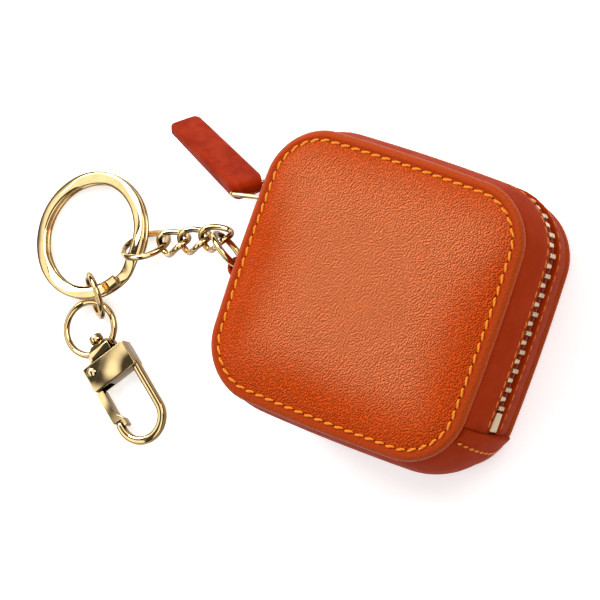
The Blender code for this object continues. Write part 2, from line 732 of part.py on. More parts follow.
def build_slider():
    """Two plates joined by a post that runs between the tapes, with a pierced lug outside."""
    centre, hole = slider_places()
    _, tape_inner = tape_levels()
    out_low = ZIP_BULGE + SLIDER_RUN_OUT
    out_high = out_low + SLIDER_PLATE
    in_high = tape_inner - TOOTH_INNER_STAND - SLIDER_RUN_IN
    in_low = in_high - SLIDER_PLATE
    half = SLIDER_LENGTH / 2
    frame = np.array([[-1.0, 0.0, 0.0], [0.0, 1.0, 0.0], [0.0, 0.0, -1.0]]).T
    post_start = -half + SLIDER_POST_MARGIN
    post_end = post_start + SLIDER_POST_LENGTH
    plate = box_mesh("zip_slider", (out_low, -half, -SLIDER_WIDTH / 2),
                     (out_high, half, SLIDER_WIDTH / 2), centre, frame)
    slider = add_object("zip_slider", plate, "gold", hole)
    inner = box_mesh("slider_inner_plate", (in_low, -half, -SLIDER_INNER_WIDTH / 2),
                     (in_high, half, SLIDER_INNER_WIDTH / 2), centre, frame)
    post = box_mesh("slider_post", (in_low + SLIDER_PLATE / 2, post_start, -SLIDER_POST_WIDTH / 2),
                    (out_high - SLIDER_PLATE / 2, post_end, SLIDER_POST_WIDTH / 2), centre, frame)
    hole_x = float(np.linalg.norm(hole - centre))
    base = out_high - SLIDER_PLATE / 2
    lug_outline = [(base, -LUG_RADIUS)] + list(arc_points((hole_x, 0.0), LUG_RADIUS, -90, 90, 10)) \
        + [(base, LUG_RADIUS)]
    hole_outline = arc_points((hole_x, 0.0), LUG_HOLE_RADIUS, 0, 360, 12)[:-1]
    lug = plate_mesh("slider_lug", [lug_outline, hole_outline], LUG_WIDTH, centre, frame)
    for mesh in (post, inner, lug):
        boolean(slider, add_object(mesh.name, mesh, None, centre), "UNION")


def pull_layout():
    """The slider's lug hole, the tab's hole and the tab's frame: along it, across it, out of its face."""
    _, hole = slider_places()
    tab_hole = hole + heading(PULL_WIRE_YAW_DEG, PULL_WIRE_PITCH_DEG) * PULL_WIRE_REACH
    return hole, tab_hole, frame_along(heading(TAB_YAW_DEG, TAB_PITCH_DEG), TAB_ROLL_DEG)


def rounded_corner(before, corner, after, radius, steps):
    """Points of a bend of a given radius at the corner of a path in space."""
    back, ahead = unit(before - corner), unit(after - corner)
    half_angle = math.acos(float(back @ ahead)) / 2
    centre = corner + unit(back + ahead) * radius / math.sin(half_angle)
    start = corner + back * radius / math.tan(half_angle)
    end = corner + ahead * radius / math.tan(half_angle)
    turn = math.pi - 2 * half_angle
    shares = [math.sin(turn * (1 - step / steps)) / math.sin(turn) for step in range(steps + 1)]
    return [centre + (start - centre) * first + (end - centre) * last
            for first, last in zip(shares, reversed(shares))]


def build_pull():
    """The wire loop, narrow at the slider's lug and wide at the tab, and the folded leather tab on it."""
    hole, tab_hole, frame = pull_layout()
    across = frame[:, 1]
    near = across * PULL_WIRE_NEAR_SPAN / 2
    wide = across * (TAB_WIDTH / 2 + FIT_GAP + PULL_WIRE / 2)
    corners = [hole - near, hole + near, tab_hole + wide, tab_hole - wide]
    points = []
    for index, corner in enumerate(corners):
        before, after = corners[index - 1], corners[(index + 1) % len(corners)]
        points += rounded_corner(before, corner, after, PULL_WIRE_BEND, 4)
    add_object("pull_wire", wire_mesh("pull_wire", points, PULL_WIRE / 2, True), "gold", hole)

    root, tip = TAB_ROOT_THICKNESS / 2, TAB_TIP_THICKNESS / 2
    side_frame = np.array([frame[:, 0], frame[:, 2], -across]).T
    outline = np.vstack([[(TAB_REACH, -tip), (TAB_REACH, tip)], arc_points((0.0, 0.0), root, 90, 270, 8)])
    eyelet = arc_points((0.0, 0.0), TAB_HOLE_RADIUS, 0, 360, 12)[:-1]
    tab = add_object("pull_tab", plate_mesh("pull_tab", [outline, eyelet], TAB_WIDTH, tab_hole, side_frame),
                     "tab_leather", tab_hole)
    half = TAB_WIDTH / 2
    centre_x = TAB_REACH - TAB_CORNER
    face = np.vstack([[(-root, TAB_SHOULDER - half), (TAB_SHOULDER_FROM, -half)],
                      arc_points((centre_x, TAB_CORNER - half), TAB_CORNER, -90, 0, 4),
                      arc_points((centre_x, half - TAB_CORNER), TAB_CORNER, 0, 90, 4),
                      [(TAB_SHOULDER_FROM, half), (-root, half - TAB_SHOULDER)],
                      [(-TAB_ROOT_THICKNESS, half - TAB_SHOULDER)],
                      [(-TAB_ROOT_THICKNESS, TAB_SHOULDER - half)]])
    trim = plate_mesh("tab_corners", [face], 2 * TAB_ROOT_THICKNESS, tab_hole, frame)
    boolean(tab, add_object("tab_corners", trim, None, tab_hole), "INTERSECT")


# Chain

def chain_layout():
    """Centres, frames and joint points of the chain, worked out from one link to the next."""
    (place,), _ = RIM.at(np.array([RIM.where(-1, STRAP_Y)]))
    strap_z = ZIP_Z - STRAP_DROP
    strap_face = place[0] - boot_face(strap_z + STRAP_HEIGHT / 2) - FIT_GAP
    anchor = np.array([strap_face - STRAP_REACH, STRAP_Y, strap_z])
    level = heading(STRAP_RING_YAW_DEG)

    def on_ring(drop_deg):
        drop = math.radians(drop_deg)
        return math.cos(drop) * level - math.sin(drop) * UP

    ring_centre = anchor + STRAP_RING_RADIUS * on_ring(STRAP_RING_DROOP_DEG)
    wire_point = ring_centre + STRAP_RING_RADIUS * on_ring(STRAP_RING_HOOK_DEG)
    lay = {"strap_face": strap_face, "anchor": anchor,
           "strap_ring": (ring_centre, np.array([level, UP, np.cross(level, UP)]).T)}

    direction = heading(LINK_YAW_DEG, LINK_PITCH_DEG)
    near = wire_point - direction * (STRAP_RING_WIRE / 2 + LINK_WIRE / 2 + FIT_GAP)
    joints = [wire_point - direction * (LINK_WIRE / 2)]
    frame = frame_along(direction, LINK_ROLL_DEG)
    links = []
    for _ in range(LINK_COUNT):
        centre = near + direction * LINK_HALF_LENGTH
        links.append((centre, frame))
        far = centre + direction * LINK_HALF_LENGTH
        near = far - direction * (LINK_WIRE + FIT_GAP)
        joints.append((far + near) / 2)
    lay["links"] = links

    small_dir = heading(SMALL_RING_YAW_DEG, SMALL_RING_PITCH_DEG)
    near = far - unit(direction + small_dir) * (LINK_WIRE / 2 + SMALL_RING_WIRE / 2 + FIT_GAP)
    joints[-1] = (far + near) / 2
    small_centre = near + small_dir * SMALL_RING_RADIUS
    lay["small_ring"] = (small_centre, frame_along(small_dir, SMALL_RING_ROLL_DEG))
    lay["joints"] = joints
    lay["direction"] = direction

    tilt = math.radians(SPLIT_RING_TILT_DEG)
    lift_to = heading(SPLIT_RING_TILT_TO_DEG)
    x_axis = math.cos(tilt) * lift_to + math.sin(tilt) * UP
    y_axis = unit(np.cross(UP, lift_to))
    ring_frame = np.array([x_axis, y_axis, np.cross(x_axis, y_axis)]).T
    half_height = SPLIT_RING_WIRE + SPLIT_RING_TURN_GAP / 2
    band_radius = SPLIT_RING_OUTER - SPLIT_RING_BAND / 2
    split_centre = small_centre + heading(SPLIT_RING_YAW_DEG) * (band_radius + SPLIT_RING_PLAY)
    split_centre[2] = TABLE_CLEAR + half_height * math.cos(tilt) + SPLIT_RING_OUTER * math.sin(tilt)
    lay["split_ring"] = (split_centre, ring_frame)

    toward = heading(JUMP_RING_AT_DEG)
    band_point = split_centre + toward * band_radius
    band_point[2] += band_radius * math.sin(tilt) * float(toward @ lift_to)
    jump_dir = heading(JUMP_RING_YAW_DEG, JUMP_RING_PITCH_DEG)
    jump_centre = band_point + jump_dir * JUMP_RING_PLAY + UP * JUMP_RING_LIFT
    lay["jump_ring"] = (jump_centre, frame_along(jump_dir, JUMP_RING_ROLL_DEG))
    lay["jump_joint"] = band_point

    far = jump_centre + jump_dir * JUMP_RING_RADIUS
    eye_wire = far - jump_dir * (JUMP_RING_WIRE / 2 + EYE_WIRE / 2 + FIT_GAP + EYE_PLAY)
    level_out = unit([jump_dir[0], jump_dir[1], 0.0])
    swing = math.radians(EYE_SWING_DEG)
    out = np.array([level_out[0] * math.cos(swing) - level_out[1] * math.sin(swing),
                    level_out[0] * math.sin(swing) + level_out[1] * math.cos(swing), 0.0])
    eye_centre = eye_wire + out * EYE_RADIUS
    eye_centre[2] = TABLE_CLEAR + RIVET_HEAD + RIVET_SEAT_GAP + BODY_THICKNESS / 2
    lay["eye"] = (eye_centre, frame_along(heading(HOOK_YAW_DEG)))
    lay["eye_joint"] = eye_centre - out * EYE_RADIUS
    return lay


def build_strap(lay):
    """The leather strap that is sewn into the gusset and holds the first ring."""
    anchor = lay["anchor"]
    outer = STRAP_HOLE_RADIUS + STRAP_WALL
    stem = STRAP_STEM / 2
    reach = lay["strap_face"] - anchor[0]
    turn = math.degrees(math.asin(stem / outer))
    outline = np.vstack([[(reach, -stem), (reach, stem)],
                         arc_points((0.0, 0.0), outer, turn, 360 - turn, 14)])
    eyelet = arc_points((0.0, 0.0), STRAP_HOLE_RADIUS, 0, 360, 14)[:-1]
    mesh = plate_mesh("chain_strap", [outline, eyelet], STRAP_HEIGHT, anchor, np.eye(3))
    add_object("chain_strap", mesh, "leather", anchor)


def build_chain(lay):
    """The strap's ring, three twisted curb links and the small round ring."""
    centre, frame = lay["strap_ring"]
    mesh = torus_mesh("strap_ring", centre, frame, STRAP_RING_RADIUS, STRAP_RING_WIRE / 2)
    add_object("strap_ring", mesh, "gold", lay["anchor"])
    turns = np.linspace(0.0, 2 * math.pi, LINK_STEPS, endpoint=False)
    shape = np.c_[LINK_HALF_LENGTH * np.cos(turns), LINK_HALF_WIDTH * np.sin(turns),
                  -LINK_TWIST * np.sin(2 * turns)]
    for index, (centre, frame) in enumerate(lay["links"]):
        name = f"curb_link_{index + 1}"
        mesh = wire_mesh(name, to_world(shape, centre, frame), LINK_WIRE / 2, True)
        add_object(name, mesh, "gold", lay["joints"][index])
    centre, frame = lay["small_ring"]
    mesh = torus_mesh("small_ring", centre, frame, SMALL_RING_RADIUS, SMALL_RING_WIRE / 2)
    add_object("small_ring", mesh, "gold", lay["joints"][LINK_COUNT])


def build_split_ring(lay):
    """A split ring: flat wire in two turns that lie on each other, one step from turn to turn."""
    centre, frame = lay["split_ring"]
    level = (SPLIT_RING_WIRE + SPLIT_RING_TURN_GAP) / 2
    last = 720 - SPLIT_RING_RAMP_DEG - 2 * SPLIT_RING_END_GAP_DEG
    turns = np.linspace(0.0, last, 2 * RING_STEPS + 1)
    climb_start = 360 - SPLIT_RING_RAMP_DEG - SPLIT_RING_END_GAP_DEG
    climb = np.clip((turns - climb_start) / SPLIT_RING_RAMP_DEG, 0, 1)
    heights = level * (2 * climb * climb * (3 - 2 * climb) - 1)
    angles = np.radians(turns + SPLIT_RING_START_DEG)
    inner, outer = SPLIT_RING_OUTER - SPLIT_RING_BAND, SPLIT_RING_OUTER
    half = SPLIT_RING_WIRE / 2
    rings = []
    for angle, height in zip(angles, heights):
        section = [(inner, -half), (outer, -half), (outer, half), (inner, half)]
        local = [(radius * math.cos(angle), radius * math.sin(angle), height + rise)
                 for radius, rise in section]
        rings.append(to_world(local, centre, frame))
    overlap = turns[turns > 360]
    upper = np.interp(overlap, turns, heights)
    lower = np.interp(overlap - 360, turns, heights)
    least = float((upper - lower).min()) - SPLIT_RING_WIRE
    print(f"split ring: least gap between its turns {1000 * least:.2f} mm")
    mesh = mesh_from_rings("split_ring", rings, "flat", "flat")
    add_object("split_ring", mesh, "gold", lay["joints"][LINK_COUNT])


def build_jump_ring(lay):
    """The ring between the split ring and the swivel."""
    centre, frame = lay["jump_ring"]
    mesh = torus_mesh("hook_jump_ring", centre, frame, JUMP_RING_RADIUS, JUMP_RING_WIRE / 2)
    add_object("hook_jump_ring", mesh, "gold", lay["jump_joint"])


# Snap hook; in its frame x runs from the eye to the hook's tip and y across it

def hook_places():
    """Distances along the hook's axis from the eye's centre."""
    collar_start = EYE_RADIUS - COLLAR_LENGTH / 2 - EYE_WIRE / 4
    collar_end = collar_start + COLLAR_LENGTH
    body_start = collar_end + PIN_RUN_GAP
    body_end = body_start + BODY_LENGTH
    rivet = (body_start + RIVET_FROM_TOP, RIVET_INSET - HOOK_HALF_SPAN)
    return collar_start, collar_end, body_start, body_end, rivet


def build_swivel(lay):
    """The eye with its faceted collar, and the headed pin that turns in the collar."""
    centre, frame = lay["eye"]
    collar_start, collar_end, body_start, _, _ = hook_places()
    eye = add_object("swivel_eye", torus_mesh("swivel_eye", centre, frame, EYE_RADIUS, EYE_WIRE / 2),
                     "gold", lay["eye_joint"])
    half, thick, cut = COLLAR_HALF_WIDTH, COLLAR_THICKNESS / 2, COLLAR_CHAMFER
    section = [(-half, -thick + cut), (-half + cut, -thick), (half - cut, -thick), (half, -thick + cut),
               (half, thick - cut), (half - cut, thick), (-half + cut, thick), (-half, thick - cut)]
    side_frame = np.array([frame[:, 1], frame[:, 2], frame[:, 0]]).T
    middle = centre + frame[:, 0] * (collar_start + collar_end) / 2
    collar = plate_mesh("swivel_collar", [section], COLLAR_LENGTH, middle, side_frame)
    boolean(eye, add_object("swivel_collar", collar, None, centre), "UNION")
    bore_start = centre + frame[:, 0] * (collar_start - CUT_OVERRUN)
    bore_end = centre + frame[:, 0] * (collar_end + CUT_OVERRUN)
    bore = cylinder_mesh("collar_bore", PIN_RADIUS + PIN_RUN_GAP, bore_start, bore_end, 16)
    boolean(eye, add_object("collar_bore", bore, None, centre), "DIFFERENCE")

    head_end = collar_start - PIN_RUN_GAP
    head_start = head_end - PIN_HEAD_LENGTH
    shank = [(PIN_HEAD_RADIUS, head_start), (PIN_HEAD_RADIUS, head_end),
             (PIN_RADIUS, head_end), (PIN_RADIUS, body_start + PIN_SEAT_DEPTH)]
    rings = []
    turns = np.linspace(0.0, 2 * math.pi, 16, endpoint=False)
    for radius, along in shank:
        local = np.c_[np.full(16, along), radius * np.cos(turns), radius * np.sin(turns)]
        rings.append(to_world(local, centre, frame))
    mesh = mesh_from_rings("swivel_pin", rings, "flat", "flat")
    add_object("swivel_pin", mesh, "gold", centre)


def hook_path():
    """The hook wire's centre line: down one side, round the end and up to the tip."""
    _, _, _, body_end, _ = hook_places()
    turn_x = body_end + HOOK_STRAIGHT
    arc = arc_points((turn_x, 0.0), HOOK_HALF_SPAN, 90, -90, 14)
    start = (body_end - HOOK_WIRE / 2, HOOK_HALF_SPAN)
    tip = (turn_x - HOOK_TIP_RISE, -HOOK_HALF_SPAN)
    return np.vstack([[start], arc, [tip]])


def build_hook(lay):
    """The cast body with its U-shaped hook, the sprung gate and the gate's rivet and leaf spring."""
    centre, frame = lay["eye"]
    _, _, body_start, body_end, rivet = hook_places()
    half_w, half_t = HOOK_HALF_SPAN + BODY_SIDE, BODY_THICKNESS / 2
    block = box_mesh("hook_frame", (body_start, -half_w, -half_t), (body_end, half_w, half_t), centre, frame)
    hook = add_object("hook_frame", block, "gold", centre)
    bevel = hook.modifiers.new("worn edges", "BEVEL")
    bevel.width = BODY_EDGE
    bevel.segments = 1
    path = hook_path()
    route = to_world(np.c_[path, np.zeros(len(path))], centre, frame)
    wire = wire_mesh("hook_wire", route, HOOK_WIRE / 2, False)
    boolean(hook, add_object("hook_wire", wire, None, centre), "UNION")

    opening = math.radians(GATE_OPEN_DEG)
    gate_inner = -HOOK_HALF_SPAN + GATE_DEPTH / 2
    swing = (body_end - rivet[0]) * math.tan(opening)
    wall = gate_inner + swing + FIT_GAP + SPRING_THICKNESS + FIT_GAP
    slot_half = GATE_THICKNESS / 2 + FIT_GAP
    slot = box_mesh("gate_slot", (body_start + BODY_EDGE, -half_w - CUT_OVERRUN, -slot_half),
                    (body_end + CUT_OVERRUN, wall, slot_half), centre, frame)
    boolean(hook, add_object("gate_slot", slot, None, centre), "DIFFERENCE")
    pivot = to_world((rivet[0], rivet[1], 0.0), centre, frame)
    lift = half_t + CUT_OVERRUN
    bore = cylinder_mesh("rivet_bore", RIVET_RADIUS + FIT_GAP / 2, pivot - UP * lift, pivot + UP * lift, 12)
    boolean(hook, add_object("rivet_bore", bore, None, centre), "DIFFERENCE")
    pin_start = centre + frame[:, 0] * (body_start - CUT_OVERRUN)
    pin_end = centre + frame[:, 0] * (body_start + PIN_SEAT_DEPTH + FIT_GAP)
    seat = cylinder_mesh("pin_seat", PIN_RADIUS + FIT_GAP / 2, pin_start, pin_end, 16)
    boolean(hook, add_object("pin_seat", seat, None, centre), "DIFFERENCE")

    tip_x = body_end + HOOK_STRAIGHT - HOOK_TIP_RISE
    outer_y = -HOOK_HALF_SPAN - GATE_DEPTH / 2
    nose_y = -HOOK_HALF_SPAN + HOOK_WIRE / 2 + FIT_GAP
    root = GATE_DEPTH / 2 + FIT_GAP / 2
    heel = [(rivet[0] + root * math.cos(angle), rivet[1] + root * math.sin(angle))
            for angle in np.radians(np.linspace(90, 270, 7))]
    shape = heel + [(body_end, outer_y), (tip_x - FIT_GAP, outer_y), (tip_x - FIT_GAP, nose_y),
                    (tip_x + GATE_NOSE_LENGTH, nose_y), (tip_x + GATE_NOSE_LENGTH, nose_y + GATE_NOSE_DEPTH),
                    (tip_x - GATE_NOSE_LENGTH, nose_y + GATE_NOSE_DEPTH), (body_end, gate_inner)]
    eyelet = arc_points(rivet, RIVET_RADIUS + FIT_GAP / 2, 0, 360, 12)[:-1]
    gate = plate_mesh("hook_gate", [shape, eyelet], GATE_THICKNESS, centre, frame)
    add_object("hook_gate", gate, "gold", pivot)

    head_in = half_t + RIVET_SEAT_GAP
    head_out = head_in + RIVET_HEAD
    profile = [(RIVET_HEAD_RADIUS / 2, -head_out), (RIVET_HEAD_RADIUS, -head_in), (RIVET_RADIUS, -head_in),
               (RIVET_RADIUS, head_in), (RIVET_HEAD_RADIUS, head_in), (RIVET_HEAD_RADIUS / 2, head_out)]
    turns = np.linspace(0.0, 2 * math.pi, 12, endpoint=False)
    rings = [to_world(np.c_[rivet[0] + radius * np.cos(turns), rivet[1] + radius * np.sin(turns),
                            np.full(12, rise)], centre, frame) for radius, rise in profile]
    add_object("gate_rivet", mesh_from_rings("gate_rivet", rings, "flat", "flat"), "gold", pivot)

    spring_y = wall - FIT_GAP - SPRING_THICKNESS
    spring = box_mesh("gate_spring", (body_start + BODY_EDGE + FIT_GAP, spring_y, -GATE_THICKNESS / 3),
                      (body_end - BODY_EDGE, spring_y + SPRING_THICKNESS, GATE_THICKNESS / 3), centre, frame)
    add_object("gate_spring", spring, "steel", centre)


def joint_table(lay):
    """Joint points and axes in world coordinates, for whoever rigs the model."""
    fold_point, fold_axis, _ = fold_line()
    hole, tab_hole, tab_frame = pull_layout()
    centre, frame = lay["eye"]
    _, _, _, _, rivet = hook_places()
    lift = unit(np.cross(lay["direction"], UP))
    split_centre, _ = lay["split_ring"]
    small_centre, _ = lay["small_ring"]
    outward = unit((split_centre - small_centre) * np.array([1.0, 1.0, 0.0]))
    band_point = split_centre - outward * (SPLIT_RING_OUTER - SPLIT_RING_BAND / 2)
    band_point[2] = small_centre[2]
    jump_outward = unit((lay["jump_joint"] - split_centre) * np.array([1.0, 1.0, 0.0]))
    return {
        "lid_fold": (fold_point, fold_axis),
        "zip_slide": (hole, np.array([0.0, 1.0, 0.0])),
        "pull_wire_turn": (hole, UP),
        "pull_tab_turn": (tab_hole, -tab_frame[:, 1]),
        "strap_ring_swing": (lay["anchor"], UP),
        "link_1_lift": (lay["joints"][0], lift),
        "link_2_turn": (lay["joints"][1], -UP),
        "link_3_lift": (lay["joints"][2], lift),
        "small_ring_turn": (lay["joints"][LINK_COUNT], UP),
        "split_ring_lift": (band_point, np.cross(heading(SPLIT_RING_LIFTS_TO_DEG), UP)),
        "jump_ring_lift": (lay["jump_joint"], np.cross(jump_outward, UP)),
        "eye_turn": (lay["eye_joint"], -UP),
        "hook_swivel": (centre, frame[:, 0]),
        "gate_turn": (to_world((rivet[0], rivet[1], 0.0), centre, frame), UP),
    }


def main():
    """Build every piece of the purse."""
    start_scene()
    build_panels()
    build_gussets()
    build_zip_stop()
    build_slider()
    build_pull()
    lay = chain_layout()
    build_strap(lay)
    build_chain(lay)
    build_split_ring(lay)
    build_jump_ring(lay)
    build_swivel(lay)
    build_hook(lay)
    for name, (point, axis) in joint_table(lay).items():
        print(f"{name}: at {np.round(point, 6).tolist()} along {np.round(axis, 5).tolist()}")


if __name__ == "__main__":
    main()
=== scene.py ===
"""The looks of a keychain coin purse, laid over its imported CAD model.

The purse lies on its rear panel. Every shape is a surface worked out with numpy: a profile that is
carried along a path, or a function of two parameters on a grid. Shapes are in millimetres and become
metres when they are put into their meshes. The finishes, the lights and the camera are in metres.
"""
from __future__ import annotations

import json
import logging
import math
from dataclasses import dataclass, field
from enum import Enum

import bpy
import numpy as np
from mathutils import Matrix

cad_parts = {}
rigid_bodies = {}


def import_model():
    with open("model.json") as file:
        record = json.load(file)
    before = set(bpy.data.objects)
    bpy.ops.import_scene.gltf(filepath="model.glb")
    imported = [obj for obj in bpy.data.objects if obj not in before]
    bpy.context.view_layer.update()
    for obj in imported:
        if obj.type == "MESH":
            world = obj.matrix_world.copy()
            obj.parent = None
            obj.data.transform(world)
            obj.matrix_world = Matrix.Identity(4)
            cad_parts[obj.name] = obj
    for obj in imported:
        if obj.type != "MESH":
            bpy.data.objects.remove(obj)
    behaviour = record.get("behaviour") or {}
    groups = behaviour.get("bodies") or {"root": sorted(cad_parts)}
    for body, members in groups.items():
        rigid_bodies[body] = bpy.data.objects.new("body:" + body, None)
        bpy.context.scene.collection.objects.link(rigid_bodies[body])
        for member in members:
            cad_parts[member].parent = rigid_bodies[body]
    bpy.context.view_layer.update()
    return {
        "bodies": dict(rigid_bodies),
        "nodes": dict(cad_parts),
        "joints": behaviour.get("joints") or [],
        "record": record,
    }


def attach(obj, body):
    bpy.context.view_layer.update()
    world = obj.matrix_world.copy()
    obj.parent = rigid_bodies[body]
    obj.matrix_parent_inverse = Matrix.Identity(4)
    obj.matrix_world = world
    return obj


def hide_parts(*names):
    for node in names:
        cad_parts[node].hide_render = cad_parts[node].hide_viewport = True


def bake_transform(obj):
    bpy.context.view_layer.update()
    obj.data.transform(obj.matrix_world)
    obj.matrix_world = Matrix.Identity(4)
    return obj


Triple = tuple[float, float, float]
Axes = tuple[Triple, Triple, Triple]
Socket = bpy.types.NodeSocket

LOG = logging.getLogger("coin_purse")
MM = 0.001
UP = np.array([0.0, 0.0, 1.0])


# Shapes worked out with numpy

@dataclass
class Shape:
    """A mesh as plain arrays: its points, its faces' corners in one row, their sizes and their UVs."""

    points: np.ndarray
    corners: np.ndarray
    sizes: np.ndarray
    uvs: np.ndarray

    def __add__(self, other: Shape) -> Shape:
        """Both shapes in one mesh."""
        return Shape(np.vstack([self.points, other.points]),
                     np.r_[self.corners, other.corners + len(self.points)],
                     np.r_[self.sizes, other.sizes], np.vstack([self.uvs, other.uvs]))

    def volume(self) -> float:
        """The enclosed volume, from a fan of triangles in each face; it is negative inside out."""
        spans = self.sizes - 2
        base = np.repeat(np.cumsum(self.sizes) - self.sizes, spans)
        order = np.arange(len(base)) - np.repeat(np.cumsum(spans) - spans, spans)
        a, b, c = (self.points[self.corners[base + step]] for step in (0, order + 1, order + 2))
        return float(np.einsum("ij,ij->", a, np.cross(b, c))) / 6

    def outward(self) -> Shape:
        """The same shape with its faces pointing outwards, all of them turned if it is inside out."""
        if self.volume() >= 0:
            return self
        return Shape(self.points, self.corners[::-1].copy(), self.sizes[::-1].copy(), self.uvs[::-1].copy())

    def placed(self, origins: np.ndarray, frames: np.ndarray) -> Shape:
        """Copies of the shape at many places, in one shape.

        Args:
            origins: the copies' origins, one row each.
            frames: for each copy the three directions of its own axes, as columns.

        Returns:
            The copies.
        """
        count = len(origins)
        points = origins[:, None, :] + np.einsum("kij,nj->kni", frames, self.points)
        shift = np.repeat(np.arange(count) * len(self.points), len(self.corners))
        return Shape(points.reshape(-1, 3), np.tile(self.corners, count) + shift,
                     np.tile(self.sizes, count), np.tile(self.uvs, (count, 1)))


def grid_shape(points: np.ndarray, close_rows: bool = False, close_columns: bool = True,
               uv: np.ndarray | None = None) -> Shape:
    """A surface through a grid of points; a tube with open ends gets a flat face at each.

    Args:
        points: rows, columns and three coordinates.
        close_rows: whether the last row joins the first.
        close_columns: whether the last column joins the first.
        uv: a UV for each point, with one more column where columns close.

    Returns:
        The shape, its faces pointing outwards when it is closed.
    """
    rows, columns = points.shape[:2]
    row, column = np.meshgrid(np.arange(rows if close_rows else rows - 1),
                              np.arange(columns if close_columns else columns - 1), indexing="ij")
    square = np.stack([(row, column), (row, column + 1), (row + 1, column + 1), (row + 1, column)])
    index = (square[:, 0] % rows) * columns + square[:, 1] % columns
    corners, sizes = np.moveaxis(index, 0, -1).reshape(-1), np.full(row.size, 4)
    if uv is None:
        wide, long = np.meshgrid(np.arange(columns + 1) / columns, np.arange(rows + 1) / rows)
        uv = np.stack([wide, long], axis=-1)
    uvs = np.moveaxis(uv[square[:, 0] % len(uv), square[:, 1]], 0, -2).reshape(-1, 2)
    if close_columns and not close_rows:
        around = np.arange(columns)
        corners = np.r_[corners, around[::-1], (rows - 1) * columns + around]
        sizes = np.r_[sizes, columns, columns]
        uvs = np.vstack([uvs, uv[0, :columns][::-1], uv[-1, :columns]])
    return Shape(points.reshape(-1, 3), corners, sizes, uvs).outward()


def smooth_curve(controls: np.ndarray, steps: int, closed: bool = False) -> np.ndarray:
    """A Catmull-Rom curve: between two controls, the cubic whose slopes are half the outer chords.

    Args:
        controls: the points that it passes through.
        steps: points for each span.
        closed: whether it returns to its first control.

    Returns:
        The curve's points, with the last control at its end when it is open.
    """
    if closed:
        before, start, end, after = (np.roll(controls, -shift, axis=0) for shift in (-1, 0, 1, 2))
    else:
        padded = np.vstack([2 * controls[0] - controls[1], controls, 2 * controls[-1] - controls[-2]])
        before, start, end, after = padded[:-3], padded[1:-2], padded[2:-1], padded[3:]
    t = np.linspace(0.0, 1.0, steps, endpoint=False)[None, :, None]
    slope_in, slope_out = (end - before)[:, None] / 2, (after - start)[:, None] / 2
    start, end = start[:, None], end[:, None]
    curve = ((2 * t**3 - 3 * t**2 + 1) * start + (t**3 - 2 * t**2 + t) * slope_in
             + (3 * t**2 - 2 * t**3) * end + (t**3 - t**2) * slope_out).reshape(-1, controls.shape[1])
    return curve if closed else np.vstack([curve, controls[-1]])


def unit(vectors: np.ndarray) -> np.ndarray:
    """Vectors at length one."""
    return vectors / np.linalg.norm(vectors, axis=-1, keepdims=True)


def raised(values: np.ndarray, power: float) -> np.ndarray:
    """Values raised to a power, with their signs kept."""
    return np.sign(values) * np.abs(values) ** power


def full_turn(steps: int) -> np.ndarray:
    """Even angles once round."""
    return np.linspace(0.0, 2 * math.pi, steps, endpoint=False)


def looped(points: np.ndarray) -> np.ndarray:
    """Points with the first one again at their end."""
    return np.vstack([points, points[:1]])


def lengths_along(points: np.ndarray) -> np.ndarray:
    """The distance from the first point to each one, along the points."""
    return np.r_[0.0, np.cumsum(np.linalg.norm(np.diff(points, axis=0), axis=1))]


def points_at(where: np.ndarray, along: np.ndarray, points: np.ndarray) -> np.ndarray:
    """The places at some distances, on a line whose points have the distances along it."""
    return np.stack([np.interp(where, along, column) for column in points.T], -1)


def on_loop(where: np.ndarray, along: np.ndarray, points: np.ndarray,
            span: float) -> tuple[np.ndarray, np.ndarray]:
    """Places at some distances on a closed line, and its direction over a span on either side of each."""
    behind, places, ahead = (points_at(np.mod(where + step, along[-1]), along, points)
                             for step in (-span, 0.0, span))
    return places, unit(ahead - behind)


def ellipse_section(wide: float, high: float, steps: int = 14) -> np.ndarray:
    """A round or oval cross-section: half widths times the cosine and sine of the turn."""
    turn = full_turn(steps)
    return np.c_[wide * np.cos(turn), high * np.sin(turn)]


def soft_box_section(wide: float, high: float, power: float = 0.45, steps: int = 24) -> np.ndarray:
    """A box section with soft corners: a superellipse, whose cosine and sine are raised to a power."""
    turn = full_turn(steps)
    return np.c_[wide * raised(np.cos(turn), power), high * raised(np.sin(turn), power)]


def sweep(path: np.ndarray, section: np.ndarray, across: np.ndarray, closed: bool) -> Shape:
    """A section carried along a path: its first axis lies across the path, its second square to both.

    Args:
        path: the centre line's points.
        section: the closed cross-section's points, or one set for each point of the path.
        across: the direction that the section's second axis leans to, one or one for each point.
        closed: whether the path returns to its start.

    Returns:
        The swept shape.
    """
    if closed:
        tangent = unit(np.roll(path, -1, axis=0) - np.roll(path, 1, axis=0))
    else:
        tangent = unit(np.gradient(path, axis=0))
    across = np.broadcast_to(across, path.shape)
    second = unit(across - np.einsum("ij,ij->i", across, tangent)[:, None] * tangent)
    first = np.cross(tangent, second)
    section = np.broadcast_to(section, (len(path), *section.shape[-2:]))
    points = path[:, None] + section[..., :1] * first[:, None] + section[..., 1:] * second[:, None]
    around = np.linspace(0.0, 1.0, section.shape[1] + 1)
    uv = np.stack(np.meshgrid(around, lengths_along(looped(path))), axis=-1)
    return grid_shape(points, close_rows=closed, uv=uv)


def ring(centre: Triple, frame: Axes, radius: float, section: np.ndarray, steps: int = 72) -> Shape:
    """A ring: a section carried round a circle in the plane of a frame's first two columns."""
    turn, frame = full_turn(steps)[:, None], np.array(frame)
    outward = np.cos(turn) * frame[:, 0] + np.sin(turn) * frame[:, 1]
    return sweep(np.array(centre) + radius * outward, section, frame[:, 2], True)


